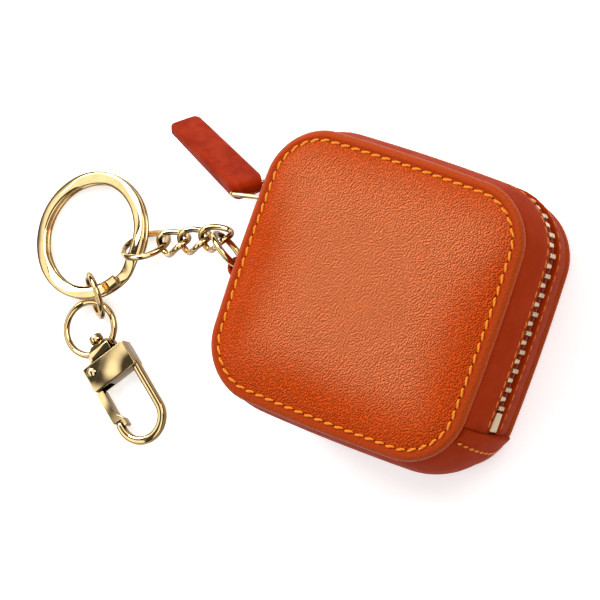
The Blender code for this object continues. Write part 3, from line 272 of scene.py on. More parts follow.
def turned(profile: np.ndarray, origin: np.ndarray, axis: np.ndarray, steps: int = 32) -> Shape:
    """A turned part: a profile of (radius, distance along the axis) carried round the axis."""
    first = unit(np.cross(axis, [0.3, 0.2, 1.0] if abs(axis[2]) < 0.9 else [1.0, 0.2, 0.3]))
    turn = full_turn(steps)[None, :, None]
    outward = np.cos(turn) * first + np.sin(turn) * np.cross(axis, first)
    return grid_shape(origin + profile[:, 1, None, None] * axis + profile[:, 0, None, None] * outward)


def mirrored(points: list[tuple[float, float]]) -> list[tuple[float, float]]:
    """Points, followed by their mirror images across the first axis in the opposite order."""
    return [*points, *((x, -y) for x, y in reversed(points))]


def rounded_outline(corners: list[tuple[float, float]], radii: list[float], steps: int = 6) -> np.ndarray:
    """A polygon whose corners are arcs: each arc's centre lies on the corner's bisector.

    Args:
        corners: the polygon's corners in order.
        radii: the radius at each corner.
        steps: spans for each arc.

    Returns:
        The outline's points.
    """
    points = []
    corners = np.array(corners, float)
    share = np.linspace(0.0, 1.0, steps + 1)[:, None]
    for index, radius in enumerate(radii):
        corner = corners[index]
        back, ahead = unit(corners[index - 1] - corner), unit(corners[(index + 1) % len(corners)] - corner)
        half = math.acos(float(np.clip(back @ ahead, -1, 1))) / 2
        centre = corner + unit(back + ahead) * radius / math.sin(half)
        first, last = (corner + way * radius / math.tan(half) - centre for way in (back, ahead))
        turn = math.pi - 2 * half
        arc = np.sin(turn * (1 - share)) * first + np.sin(turn * share) * last
        points.append(centre + arc / math.sin(turn))
    return np.vstack(points)


def slab(outline: np.ndarray, thickness: float, edge: float, origin: np.ndarray, frame: np.ndarray,
         under: float | None = None, steps: int = 4) -> Shape:
    """A plate with rounded edges, drawn in by 1 - sin and lowered by 1 - cos of each edge's turn.

    Args:
        outline: the closed outline in the plane of the frame's first two columns.
        thickness: the plate's full thickness along the third column.
        edge: the radius of its rounded upper edge.
        origin: the outline's origin.
        frame: the three directions, as columns.
        under: the radius of the lower edge, where it differs.
        steps: spans in each rounded edge.

    Returns:
        The plate.
    """
    ahead = np.roll(outline, -1, axis=0) - np.roll(outline, 1, axis=0)
    following = np.roll(outline, -1, axis=0)
    area = float(np.sum(outline[:, 0] * following[:, 1] - outline[:, 1] * following[:, 0]))
    outward = unit(np.c_[ahead[:, 1], -ahead[:, 0]]) * math.copysign(1.0, area)
    turn = np.linspace(0.0, math.pi / 2, steps + 1)
    flat_rim = 1.35

    def side(radius: float) -> tuple[np.ndarray, np.ndarray]:
        """How far the outline is drawn in, and its height, from a face down its rounded edge."""
        return (np.r_[radius * flat_rim, radius * (1 - np.sin(turn))],
                np.r_[thickness / 2, thickness / 2 - radius * (1 - np.cos(turn))])

    (draw, rise), (low_draw, low_rise) = side(edge), side(edge if under is None else under)
    draw, rise = np.r_[draw, low_draw[::-1]], np.r_[rise, -low_rise[::-1]]
    flat = outline[None] - outward[None] * draw[:, None, None]
    return grid_shape(origin + flat[..., :1] * frame[:, 0] + flat[..., 1:] * frame[:, 1]
                      + rise[:, None, None] * frame[:, 2])


def soft_block(half_sizes: Triple, power: float) -> Shape:
    """A block with soft edges: a superellipsoid, whose cosines and sines are raised to a power."""
    rise = np.linspace(-math.pi / 2, math.pi / 2, 9)[1:-1, None]
    turn = full_turn(16)[None]
    level, high = raised(np.cos(rise), power), raised(np.sin(rise), power)
    return grid_shape(np.stack([half_sizes[0] * level * raised(np.cos(turn), power),
                                half_sizes[1] * level * raised(np.sin(turn), power),
                                half_sizes[2] * high * np.ones_like(turn)], axis=-1))


def stitch_row(places: np.ndarray, ahead: np.ndarray, out: np.ndarray, pitch: float, thick: float = 0.33,
               slant_deg: float = 13.0) -> Shape:
    """A row of stitches: short arched threads that slant a little and dip into their holes.

    Each is a tube along an arch, a cosine over its length, and is thinner at its ends.

    Args:
        places: the stitches' middles.
        ahead: the row's direction at each.
        out: the direction away from the leather at each.
        pitch: the distance from hole to hole.
        thick: the thread's half thickness.
        slant_deg: how far a stitch turns off the row.

    Returns:
        All the stitches in one shape.
    """
    length, arch, dip, flatness, end_thin = 0.86, 1.3, 0.62, 0.85, 0.55
    slant = math.radians(slant_deg)
    side = np.cross(out, ahead)
    ahead, side = (ahead * math.cos(slant) + side * math.sin(slant),
                   side * math.cos(slant) - ahead * math.sin(slant))
    run = np.linspace(-0.5, 0.5, 9)
    path = np.c_[run * pitch * length, np.zeros(9), arch * thick * np.cos(run * math.pi) - dip * thick]
    thin = end_thin + (1 - end_thin) * np.sqrt(np.clip(1 - (2 * run) ** 6, 0, 1))
    section = ellipse_section(thick, thick * flatness, 8)[None] * thin[:, None, None]
    return sweep(path, section, UP, False).placed(places, np.stack([ahead, side, out], axis=-1))


# Pieces in the scene

def put(name: str, shape: Shape, finish: Finish, body: str | None, *replaced: str,
        sharp_deg: float = 60.0) -> bpy.types.Object:
    """Puts a shape into a mesh object and declares what carries it.

    Args:
        name: the piece's name.
        shape: its shape in millimetres, in the CAD's frame.
        finish: the finish that it gets.
        body: the CAD body that carries it, or None where no body carries it.
        replaced: the CAD nodes that it stands for.
        sharp_deg: edges that turn more than this keep a crease in the shading.

    Returns:
        The piece's object.
    """
    mesh = bpy.data.meshes.new(name)
    mesh.vertices.add(len(shape.points))
    mesh.vertices.foreach_set("co", (shape.points * MM).astype(np.float32).ravel())
    mesh.loops.add(len(shape.corners))
    mesh.loops.foreach_set("vertex_index", shape.corners.astype(np.int32))
    mesh.polygons.add(len(shape.sizes))
    mesh.polygons.foreach_set("loop_start", (np.cumsum(shape.sizes) - shape.sizes).astype(np.int32))
    mesh.uv_layers.new(name="UVMap").data.foreach_set("uv", shape.uvs.astype(np.float32).ravel())
    mesh.update(calc_edges=True)
    mesh.validate()
    mesh.polygons.foreach_set("use_smooth", np.ones(len(mesh.polygons), bool))
    mesh.set_sharp_from_angle(angle=math.radians(sharp_deg))
    mesh.materials.append(finish.material())
    piece = bpy.data.objects.new(name, mesh)
    bpy.context.scene.collection.objects.link(piece)
    if body is not None:
        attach(piece, body)
    if replaced:
        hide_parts(*replaced)
    LOG.info("%s: %d faces, %s", name, len(mesh.polygons), finish.name)
    return piece


# Finishes

class Mix(Enum):
    """How two colours are joined."""

    BLEND = "MIX"
    DARKEN = "MULTIPLY"


class Ramp(Enum):
    """How a value is carried from one range to another."""

    SMOOTH = "SMOOTHSTEP"
    EVEN = "LINEAR"


class Cells(Enum):
    """What a cell pattern measures: how far it is to a solid cell's edge, or to a flat cell's centre."""

    SOLID_EDGE = ("DISTANCE_TO_EDGE", "3D")
    FLAT_CENTRE = ("F1", "2D")


class Nodes:
    """A node tree, with short calls for the nodes that the finishes and the surround use."""

    def __init__(self, owner: bpy.types.ID) -> None:
        """Starts on a new material's or world's own tree."""
        owner.use_nodes = True
        self.owner, self.tree = owner, owner.node_tree

    def add(self, kind: str, inputs: dict[object, object], **values: object) -> bpy.types.Node:
        """A node of a kind, with its properties and inputs set."""
        node = self.tree.nodes.new("ShaderNode" + kind)
        for key, value in values.items():
            setattr(node, key, value)
        self.feed(node, inputs)
        return node

    def feed(self, node: bpy.types.Node, inputs: dict[object, object]) -> None:
        """Links each input to an output or sets its own value, and leaves it alone for None."""
        for key, value in inputs.items():
            socket = node.inputs[key]
            if isinstance(value, Socket):
                self.tree.links.new(value, socket)
            elif value is not None:
                socket.default_value = (*value, 1.0) if socket.type == "RGBA" else value

    def math(self, operation: str, first: object, second: object = 0.0) -> Socket:
        """The result of one Math node."""
        return self.add("Math", {0: first, 1: second}, operation=operation).outputs[0]

    def product(self, first: object, second: object) -> Socket:
        """One value times another."""
        return self.math("MULTIPLY", first, second)

    def coordinates(self, kind: str = "Object") -> Socket:
        """The piece's own coordinates of a kind."""
        return self.add("TexCoord", {}).outputs[kind]

    def place(self, stretch: float = 1.0, turn_deg: float = 0.0) -> Socket:
        """Object coordinates, drawn out by a factor along one level direction."""
        inputs = {"Vector": self.coordinates(), "Rotation": (0.0, 0.0, math.radians(turn_deg)),
                  "Scale": (stretch, 1.0, 1.0)}
        return self.add("Mapping", inputs, vector_type="TEXTURE").outputs["Vector"]

    def parts(self, vector: Socket) -> tuple[Socket, ...]:
        """A vector's three numbers."""
        return tuple(self.add("SeparateXYZ", {0: vector}).outputs)

    def warped(self, vector: Socket, scale: float, amount: float) -> Socket:
        """Coordinates pushed about by noise, by up to an amount in metres."""
        push = self.add("TexNoise", {"Vector": vector, "Scale": scale}).outputs["Color"]
        inputs = {0: push, 1: (amount, amount, amount), 2: vector}
        return self.add("VectorMath", inputs, operation="MULTIPLY_ADD").outputs["Vector"]

    def moved(self, vector: Socket, step: Triple) -> Socket:
        """Coordinates moved by a step in metres."""
        return self.add("VectorMath", {0: vector, 1: step}, operation="ADD").outputs["Vector"]

    def noise(self, vector: Socket, scale: float, detail: float = 3.0, rough: float = 0.5) -> Socket:
        """Noise at a number of features for each metre."""
        inputs = {"Vector": vector, "Scale": scale, "Detail": detail, "Roughness": rough}
        return self.add("TexNoise", inputs).outputs[0]

    def cells(self, vector: Socket, scale: float, what: Cells = Cells.SOLID_EDGE,
              random: float = 1.0) -> Socket:
        """Voronoi cells, a number of them for each metre."""
        inputs = {"Vector": vector, "Scale": scale, "Randomness": random}
        feature, space = what.value
        return self.add("TexVoronoi", inputs, feature=feature, voronoi_dimensions=space).outputs["Distance"]

    def spread(self, value: Socket, low: float, high: float, to_low: float = 0.0, to_high: float = 1.0,
               how: Ramp = Ramp.SMOOTH) -> Socket:
        """A value carried from one range to another and held at its ends."""
        inputs = {"Value": value, "From Min": low, "From Max": high, "To Min": to_low, "To Max": to_high}
        return self.add("MapRange", inputs, interpolation_type=how.value).outputs["Result"]

    def colour(self, share: object, first: object, second: object, how: Mix = Mix.BLEND) -> Socket:
        """Two colours joined by a share."""
        inputs = {0: share, 6: first, 7: second}
        return self.add("Mix", inputs, data_type="RGBA", blend_type=how.value).outputs[2]

    def bump(self, height: Socket, depth: float, strength: float = 1.0,
             under: Socket | None = None) -> Socket:
        """A bump of a real depth in metres, on top of another one."""
        inputs = {"Strength": strength, "Distance": depth, "Height": height, "Normal": under}
        return self.add("Bump", inputs).outputs["Normal"]

    def done(self, colour: Socket, rough: object, normal: Socket | None = None,
             **sockets: object) -> bpy.types.Material:
        """Feeds the shader and returns the material."""
        inputs = {key.replace("_", " "): value for key, value in sockets.items()}
        self.feed(self.tree.nodes["Principled BSDF"],
                  {"Base Color": colour, "Roughness": rough, "Normal": normal, **inputs})
        return self.owner


@dataclass(frozen=True)
class Finish:
    """A named finish; each kind below builds its own nodes."""

    name: str

    def material(self) -> bpy.types.Material:
        """The finish's material, made once."""
        made = bpy.data.materials.get(self.name)
        return made or self.build(Nodes(bpy.data.materials.new(self.name)))

    def build(self, nodes: Nodes) -> bpy.types.Material:
        """The nodes of the finish."""
        raise NotImplementedError


@dataclass(frozen=True)
class GrainLeather(Finish):
    """Tan cowhide with small pebbles, each with a painted lit side and a painted shaded side, and stitch
    holes by UV.

    The UV is the stitch's number and the distance from the panel's edge, in millimetres.
    """

    # The body colour is where the painted sheen is full, in the middle; the deep colour is where it fades,
    # towards the edges.
    body: Triple = (0.585, 0.128, 0.038)
    deep: Triple = (0.55, 0.053, 0.001)
    lip: Triple = (0.30, 0.021, 0.0005)
    # The colour of the painted highlight on the lip's outer edge.
    painted_lip_highlight: Triple = (0.34, 0.040, 0.003)
    # The colour of the painted shade on each pebble's shaded side.
    crease: Triple = (0.25, 0.026, 0.002)
    # The colour of the painted shade in the stitch holes.
    hole: Triple = (0.18, 0.016, 0.001)
    sheen_tint: Triple = (1.0, 0.55, 0.30)
    # The colour of the painted highlight on each pebble's lit side.
    rubbed: Triple = (0.90, 0.30, 0.13)
    slant_deg: float = 62.0
    stretch: float = 1.25
    warp_size: float = 1500.0
    warp: float = 0.00035
    grain_depth: float = 0.00036
    grain_size: float = 2100.0
    random: float = 0.75
    lit_step: float = 0.00015
    hole_depth: float = 0.0003
    gloss: float = 0.15
    rough: float = 0.42
    hole_row: float = 2.55
    stitches_per_mm: float = 0.37
    cloud_size: float = 50.0
    patch_size: float = 260.0
    pore_size: float = 5200.0
    wrinkle_share: float = 0.15

    def build(self, nodes: Nodes) -> bpy.types.Material:
        """Pebbles from cells drawn out along a slant, wrinkles from noise, and a hole at each whole stitch.

        A pebble's lit and shaded sides are painted into its colour: the slope between its pattern and the
        same pattern a step away.
        """
        place, (number, inset, _) = nodes.place(), nodes.parts(nodes.coordinates("UV"))
        slanted = nodes.warped(nodes.place(self.stretch, self.slant_deg), self.warp_size, self.warp)
        patterns = [nodes.cells(at, self.grain_size, Cells.FLAT_CENTRE, self.random)
                    for at in (nodes.moved(slanted, (0.0, self.lit_step, 0.0)), slanted)]
        lit, pebbles = (nodes.spread(pattern, 0.05, 0.60, 1.0, 0.0) for pattern in patterns)
        slope = nodes.math("SUBTRACT", pebbles, lit)
        wrinkles = nodes.spread(nodes.noise(slanted, self.grain_size * 2, 1.0), 0.34, 0.66)
        grain = nodes.math("ADD", nodes.product(pebbles, 1 - self.wrinkle_share),
                           nodes.product(wrinkles, self.wrinkle_share))
        uneven = nodes.spread(nodes.noise(place, self.patch_size, 2.0), 0.30, 0.65, 0.92, 1.0)
        shown = nodes.product(uneven, nodes.spread(inset, 1.8, 3.6, 0.22, 1.0))
        painted_sheen_and_clouds, colour = self.tone(nodes, place, inset)
        # Painted shade and painted highlight: each pebble's shaded side takes the crease colour and its lit
        # side the rubbed colour, less near the lip.
        shade = nodes.product(nodes.spread(slope, -0.6, 0.1, 0.84, 0.0), shown)
        shine = nodes.product(nodes.spread(slope, -0.1, 0.6, 0.0, 0.72), shown)
        shine = nodes.product(shine, nodes.spread(painted_sheen_and_clouds, 0.0, 0.8, 0.1, 1.0))
        colour = nodes.colour(shine, nodes.colour(shade, colour, self.crease), self.rubbed)
        pores = nodes.bump(nodes.noise(place, self.pore_size, 2.0), self.grain_depth / 5, 0.5)
        normal = nodes.bump(nodes.product(grain, shown), self.grain_depth, 1.0, pores)
        solid = self.around_holes(nodes, number, inset)
        rough = nodes.spread(grain, 0.1, 0.8, self.rough + 0.12, self.rough - 0.04)
        # Painted shade: the stitch holes take the dark hole colour.
        return nodes.done(nodes.colour(solid, self.hole, colour), rough,
                          nodes.bump(solid, self.hole_depth, 0.8, normal),
                          Specular_Tint=self.sheen_tint, Specular_IOR_Level=self.gloss)

    def tone(self, nodes: Nodes, place: Socket, inset: Socket) -> tuple[Socket, Socket]:
        """The painted sheen, strongest in the middle and towards the top where it is painted light from
        above, less random clouds of tone, and the colour with the lip's.
        """
        clouds = nodes.spread(nodes.noise(place, self.cloud_size, 1.0), 0.25, 0.75, 0.0, 0.12)
        painted_top_light = nodes.spread(nodes.parts(place)[1], 0.0, 0.026, 0.0, 6.0)
        painted_sheen_and_clouds = nodes.math("SUBTRACT", nodes.spread(nodes.math("ADD", inset, painted_top_light), 3.0, 22.0), clouds)
        # Painted highlight: the lip's outer edge takes a lighter colour than the rest of the lip.
        lip = nodes.colour(nodes.spread(inset, 0.8, 1.9), self.painted_lip_highlight, self.lip)
        # Painted sheen: the colour goes from the deep one at the edges to the paler body in the middle.
        return painted_sheen_and_clouds, nodes.colour(nodes.spread(inset, 1.9, 3.4), lip,
                                  nodes.colour(painted_sheen_and_clouds, self.deep, self.body))

    def around_holes(self, nodes: Nodes, number: Socket, inset: Socket) -> Socket:
        """1 on the leather and 0 in the stitch holes, which lie at the whole numbers of the stitch row."""
        near = nodes.math("SUBTRACT", nodes.math("FRACT", nodes.math("ADD", number, 0.5)), 0.5)
        side = nodes.product(nodes.math("SUBTRACT", inset, self.hole_row), self.stitches_per_mm)
        away = nodes.math("SQRT", nodes.math("ADD", nodes.product(near, near), nodes.product(side, side)))
        return nodes.spread(away, 0.03, 0.12)


@dataclass(frozen=True)
class SmoothLeather(Finish):
    """Vegetable-tanned strap leather: smooth, waxed, with a mottled colour and faint pores."""

    body: Triple = (0.30, 0.020, 0.001)
    deep: Triple = (0.21, 0.012, 0.001)
    sheen_tint: Triple = (1.0, 0.55, 0.35)
    rough: float = 0.48
    gloss: float = 0.10
    refraction: float = 1.35
    mottle: float = 1.0
    cloud_size: float = 240.0
    scuff_size: float = 1100.0
    scuff_depth: float = 0.00004
    pore_size: float = 3600.0
    pore_depth: float = 0.00003

    def build(self, nodes: Nodes) -> bpy.types.Material:
        """Cloudy colour, thin scuffs and pores."""
        place = nodes.place()
        clouds = nodes.spread(nodes.noise(place, self.cloud_size, 4.0, 0.6), 0.30, 0.70,
                              0.5 - self.mottle / 2, 0.5 + self.mottle / 2)
        scuffs = nodes.spread(nodes.noise(nodes.place(3.0, 20.0), self.scuff_size, 3.0, 0.7), 0.52, 0.72)
        colour = nodes.colour(clouds, self.deep, self.body)
        colour = nodes.colour(nodes.product(scuffs, 0.30 + 0.3 * self.mottle), colour, self.deep)
        pores = nodes.noise(place, self.pore_size, 3.0, 0.7)
        normal = nodes.bump(pores, self.pore_depth, 0.7, nodes.bump(scuffs, self.scuff_depth, 0.5))
        rough = nodes.spread(clouds, 0.0, 1.0, self.rough + 0.08, self.rough - 0.05)
        return nodes.done(colour, rough, normal, Specular_Tint=self.sheen_tint,
                          Specular_IOR_Level=self.gloss, IOR=self.refraction)


@dataclass(frozen=True)
class PolishedMetal(Finish):
    """Cast and plated metal with soft casting waves, darker on its upright sides by painted shade."""

    body: Triple = (0.76, 0.56, 0.27)
    dull: Triple = (0.56, 0.38, 0.16)
    # The side colour is painted shade on upright faces.
    side: Triple = (0.15, 0.085, 0.028)
    rough: float = 0.03
    rubbed_rough: float = 0.05
    rub_size: float = 2400.0
    patch_size: float = 320.0
    wave_size: float = 120.0
    wave_depth: float = 0.00050

    def build(self, nodes: Nodes) -> bpy.types.Material:
        """Faint waves, thin rubbed marks in the gloss, and painted shade: a darker colour on upright faces.
        """
        place = nodes.place()
        rubbed = nodes.spread(nodes.noise(nodes.place(5.0, 30.0), self.rub_size, 4.0, 0.7), 0.45, 0.75)
        patches = nodes.spread(nodes.noise(place, self.patch_size), 0.35, 0.75, 0.0, 0.5)
        # Painted shade: upright faces take the dark side colour, level faces the body colour.
        level = nodes.math("ABSOLUTE", nodes.parts(nodes.coordinates("Normal"))[2])
        colour = nodes.colour(nodes.spread(level, 0.25, 0.90), self.side,
                              nodes.colour(patches, self.body, self.dull))
        rough = nodes.math("ADD", nodes.product(rubbed, self.rubbed_rough), self.rough)
        normal = nodes.bump(nodes.noise(place, self.wave_size, 0.0), self.wave_depth, 0.6)
        return nodes.done(colour, rough, normal, Metallic=1.0)


@dataclass(frozen=True)
class Woven(Finish):
    """Woven cloth whose threads follow the piece's UVs, in millimetres."""

    body: Triple = (0.40, 0.032, 0.008)
    deep: Triple = (0.20, 0.014, 0.004)
    thread: float = 0.45
    slub_size: float = 1400.0
    depth: float = 0.00009
    rough: float = 0.82

    def build(self, nodes: Nodes) -> bpy.types.Material:
        """Over and under threads: the product of two sines, one thread apart, with slubs, and painted shade
        where the threads pass under.
        """
        uv = nodes.parts(nodes.coordinates("UV"))[:2]
        waves = [nodes.math("SINE", nodes.product(value, math.pi / self.thread)) for value in uv]
        weave = nodes.spread(nodes.product(*waves), -0.8, 0.8)
        slub = nodes.spread(nodes.noise(nodes.place(), self.slub_size), 0.2, 0.8, 0.6, 1.0)
        # Painted shade: where the threads dip, the cloth takes the deep colour; the slubs vary it at random.
        colour = nodes.colour(nodes.product(weave, slub), self.deep, self.body)
        return nodes.done(colour, self.rough, nodes.bump(weave, self.depth, 0.9), Sheen_Weight=0.15,
                          Specular_IOR_Level=0.25)


@dataclass(frozen=True)
class Thread(Finish):
    """Twisted waxed sewing thread, its plies by UV."""

    body: Triple = (0.78, 0.265, 0.010)
    deep: Triple = (0.52, 0.120, 0.004)
    plies: int = 3
    twist: float = 5.0
    depth: float = 0.00005
    rough: float = 0.50

    def build(self, nodes: Nodes) -> bpy.types.Material:
        """Plies that wind round the thread: a sine of the distance along it plus its turn, with painted shade
        in the grooves between them.
        """
        around, along, _ = nodes.parts(nodes.coordinates("UV"))
        turn = nodes.math("ADD", nodes.product(along, self.twist),
                          nodes.product(around, 2 * math.pi * self.plies))
        ply = nodes.spread(nodes.math("SINE", turn), -0.9, 0.3)
        # Painted shade: the grooves between the plies take the deep colour.
        colour = nodes.colour(ply, self.deep, self.body)
        return nodes.done(colour, self.rough, nodes.bump(ply, self.depth, 0.7), Specular_IOR_Level=0.25)


@dataclass(frozen=True)
class Foam(Finish):
    """Open-cell padding foam."""

    body: Triple = (0.78, 0.70, 0.50)
    painted_hollow_shade: Triple = (0.40, 0.33, 0.20)
    cell_size: float = 1800.0
    depth: float = 0.0002
    rough: float = 0.95

    def build(self, nodes: Nodes) -> bpy.types.Material:
        """Small cells, with painted shade in their hollows."""
        cells = nodes.spread(nodes.cells(nodes.place(), self.cell_size), 0.0, 0.3)
        # Painted shade: the cells' hollows take the darker colour.
        colour = nodes.colour(cells, self.painted_hollow_shade, self.body)
        return nodes.done(colour, self.rough, nodes.bump(cells, self.depth, 0.8), Specular_IOR_Level=0.1)


@dataclass(frozen=True)
class Studio(Finish):
    """The pale floor."""

    shade: float = 0.85
    tone: float = 0.01
    tone_size: float = 8.0
    rough: float = 0.9
    glow: float = 0.42

    def build(self, nodes: Nodes) -> bpy.types.Material:
        """Matt near-white with a trace of tone."""
        tone = nodes.spread(nodes.noise(nodes.place(), self.tone_size, 2.0), 0.3, 0.7)
        colour = nodes.colour(tone, (self.shade - self.tone,) * 3, (self.shade,) * 3)
        return nodes.done(colour, self.rough, None, Specular_IOR_Level=0.1, Emission_Color=(1.0, 1.0, 1.0),
                          Emission_Strength=self.glow)


PANEL = GrainLeather("panel_leather_finish")
SIDE = SmoothLeather("side_leather_finish", body=(0.32, 0.027, 0.002), deep=(0.26, 0.019, 0.001),
                     rough=0.60, gloss=0.2, refraction=1.15, mottle=0.5)
TAB = SmoothLeather("tab_leather_finish")
# Each metal's side colour is painted shade on its upright faces.
GOLD = PolishedMetal("pale_gold_finish")
TOOTH = PolishedMetal("tooth_metal_finish", body=(0.72, 0.57, 0.34), side=(0.50, 0.38, 0.21), rough=0.28)
STEEL = PolishedMetal("spring_steel_finish", body=(0.62, 0.62, 0.60), dull=(0.45, 0.45, 0.44),
                      side=(0.30, 0.30, 0.29), rough=0.25)
TAPE = Woven("zip_tape_finish")
LINING = Woven("lining_cloth_finish", body=(0.42, 0.20, 0.085), deep=(0.26, 0.11, 0.045), thread=0.6)
SEWING = Thread("stitch_thread_finish")
PADDING = Foam("padding_foam_finish")
FLOOR = Studio("studio_floor_finish")


# The purse's outline

class Side(Enum):
    """Which half of the purse a piece belongs to; the value is the way along z that it faces."""

    FRONT = 1
    REAR = -1


@dataclass
class Outline:
    """The bowed square with round corners that the panels and side strips follow."""

    half_wide: float = 33.0
    half_high: float = 32.5
    corner: float = 13.0
    bow: float = 1.0
    side_end: float = 6.5
    dense: np.ndarray = field(init=False)
    distance: np.ndarray = field(init=False)

    def __post_init__(self) -> None:
        """A dense copy of the outline for places by distance."""
        self.dense = looped(self.ring(0.0, 120, 120))
        self.distance = lengths_along(self.dense)

    def ring(self, offset: float, arc_steps: int = 18, side_steps: int = 26) -> np.ndarray:
        """The outline, clockwise from the bottom left corner, grown by an offset.

        Each corner is an arc of the corner's radius plus the offset; each side is straight, and is then
        pushed out by a parabola, the bow.

        Args:
            offset: how far it is grown, or drawn in where negative.
            arc_steps: spans in each corner.
            side_steps: spans on each side.

        Returns:
            The flat points.
        """
        core_w, core_h = self.half_wide - self.corner, self.half_high - self.corner
        middles = np.array([(-core_w, -core_h), (-core_w, core_h), (core_w, core_h), (core_w, -core_h)])
        starts = 270.0 - 90.0 * np.arange(4)[:, None]
        angles = np.radians(starts - np.linspace(0.0, 90.0, arc_steps + 1)[None])
        arcs = middles[:, None] + (self.corner + offset) * np.stack([np.cos(angles), np.sin(angles)], -1)
        share = np.linspace(0.0, 1.0, side_steps + 1)[None, 1:-1, None]
        sides = arcs[:, -1:] * (1 - share) + np.roll(arcs, -1, axis=0)[:, :1] * share
        points = np.concatenate([arcs, sides], axis=1).reshape(-1, 2)
        across, along = points[:, 0] / self.half_wide, points[:, 1] / self.half_high
        bow_x = self.bow * across * np.clip(1 - along**2, 0, None)
        bow_y = self.bow * along * np.clip(1 - across**2, 0, None)
        return points + np.c_[bow_x, bow_y]

    def at(self, distances: np.ndarray) -> tuple[np.ndarray, np.ndarray]:
        """Points of the outline and their outward directions at distances from its start."""
        places, tangent = on_loop(distances, self.distance, self.dense, 0.4)
        return places, np.stack([-tangent[..., 1], tangent[..., 0]], -1)

    def where(self, side: int, height: float) -> float:
        """The distance at which the left (-1) or right (+1) side passes a height."""
        across, along = self.dense.T
        on_side = (np.sign(across) == side) & (np.abs(along) < self.half_high - self.side_end)
        return float(self.distance[int(np.argmin(np.where(on_side, np.abs(along - height), np.inf)))])


@dataclass
class Purse:
    """What the panels, side strips and zip share: the outline, the levels, and where the parts end.

    The places of the zip's ends and of the fold are distances on the outline; strip_ends are the ends of
    the leather beside the zip, and reach is how far the sides go from the zip's level to each hem.
    """

    outline: Outline = field(default_factory=Outline)
    rear_edge: float = 2.4
    spacing: float = 32.0
    bulge: float = 1.7
    set_back: float = 1.1
    leather: float = 1.3
    hem_depth: float = 1.6
    fit: float = 0.3
    leather_to_zip: float = 3.2
    left_boot_y: float = 9.3
    right_boot_y: float = -21.2
    lid_left_y: float = 19.2
    seam: float = 0.4
    fold_half: float = 1.2
    zip_level: float = field(init=False)
    front_edge: float = field(init=False)
    zip_left: float = field(init=False)
    zip_right: float = field(init=False)
    lid_left: float = field(init=False)
    strip_ends: tuple[float, float] = field(init=False)
    reach: float = field(init=False)

    def __post_init__(self) -> None:
        """The levels and places that follow from the sizes."""
        self.zip_level = self.rear_edge + self.spacing / 2
        self.front_edge = self.rear_edge + self.spacing
        self.zip_left = self.outline.where(-1, self.left_boot_y)
        self.zip_right = self.outline.where(1, self.right_boot_y)
        self.lid_left = self.outline.where(-1, self.lid_left_y)
        self.strip_ends = self.zip_left + self.seam, self.zip_right - self.seam
        self.reach = self.spacing / 2 - self.hem_depth - self.fit

    def barrel(self, height: np.ndarray) -> np.ndarray:
        """How far the sides stand out at a height: a parabola that is fullest at the zip."""
        share = (np.asarray(height) - self.zip_level) / (self.spacing / 2)
        return self.bulge - (self.bulge + self.set_back) * share**2

    def bends(self, piece: bpy.types.Object) -> None:
        """Bakes a piece's place into its mesh; the outline's places at the fold's ends are found but not
        used.
        """
        ends, _ = self.outline.at(np.array([self.lid_left, self.zip_right]))
        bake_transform(piece)

    def put_half(self, side: Side, label: str, shape: Shape, finish: Finish, kind: str = "",
                 front_extra: str = "") -> bpy.types.Object:
        """Puts one half's piece: the front's is carried by no body and the rear's rides on the purse.

        Args:
            side: the half that it belongs to.
            label: the piece's name after the half's.
            shape: its shape.
            finish: its finish.
            kind: the name, after the half's, of the CAD node that it stands for.
            front_extra: the node that the front's piece stands for as well.

        Returns:
            The piece's object.
        """
        word, front = side.name.lower(), side is Side.FRONT
        nodes = [f"{word}_{kind}", *([front_extra] if front else [])] if kind else []
        piece = put(f"{word}_{label}", shape, finish, None if front else "purse", *nodes)
        if front:
            self.bends(piece)
        return piece

    def strip(self, start: float, end: float, profile: np.ndarray, pitch: float = 0.9,
              proud: np.ndarray | None = None) -> Shape:
        """A closed profile of (offset, height) carried along the outline.

        Args:
            start: the distance where it begins.
            end: the distance where it ends.
            profile: the closed cross-section's points.
            pitch: the greatest span along the outline.
            proud: an extra offset for the outer points, at even steps from start to end.

        Returns:
            The strip, with UVs in millimetres.
        """
        distances = np.linspace(start, end, int(math.ceil((end - start) / pitch)) + 1)
        places, normals = self.outline.at(distances)
        section = np.broadcast_to(profile, (len(distances), *profile.shape)).copy()
        if proud is not None:
            extra = np.interp(distances, np.linspace(start, end, len(proud)), proud)
            outer = profile[:, 0] > self.barrel(profile[:, 1]) - self.leather / 2
            section[..., 0] += extra[:, None] * outer
        flat = places[:, None] + normals[:, None] * section[..., :1]
        uv = np.stack(np.meshgrid(distances, lengths_along(looped(profile)), indexing="ij"), axis=-1)
        return grid_shape(np.concatenate([flat, section[..., 1:]], axis=-1), uv=uv)


# The padded panels

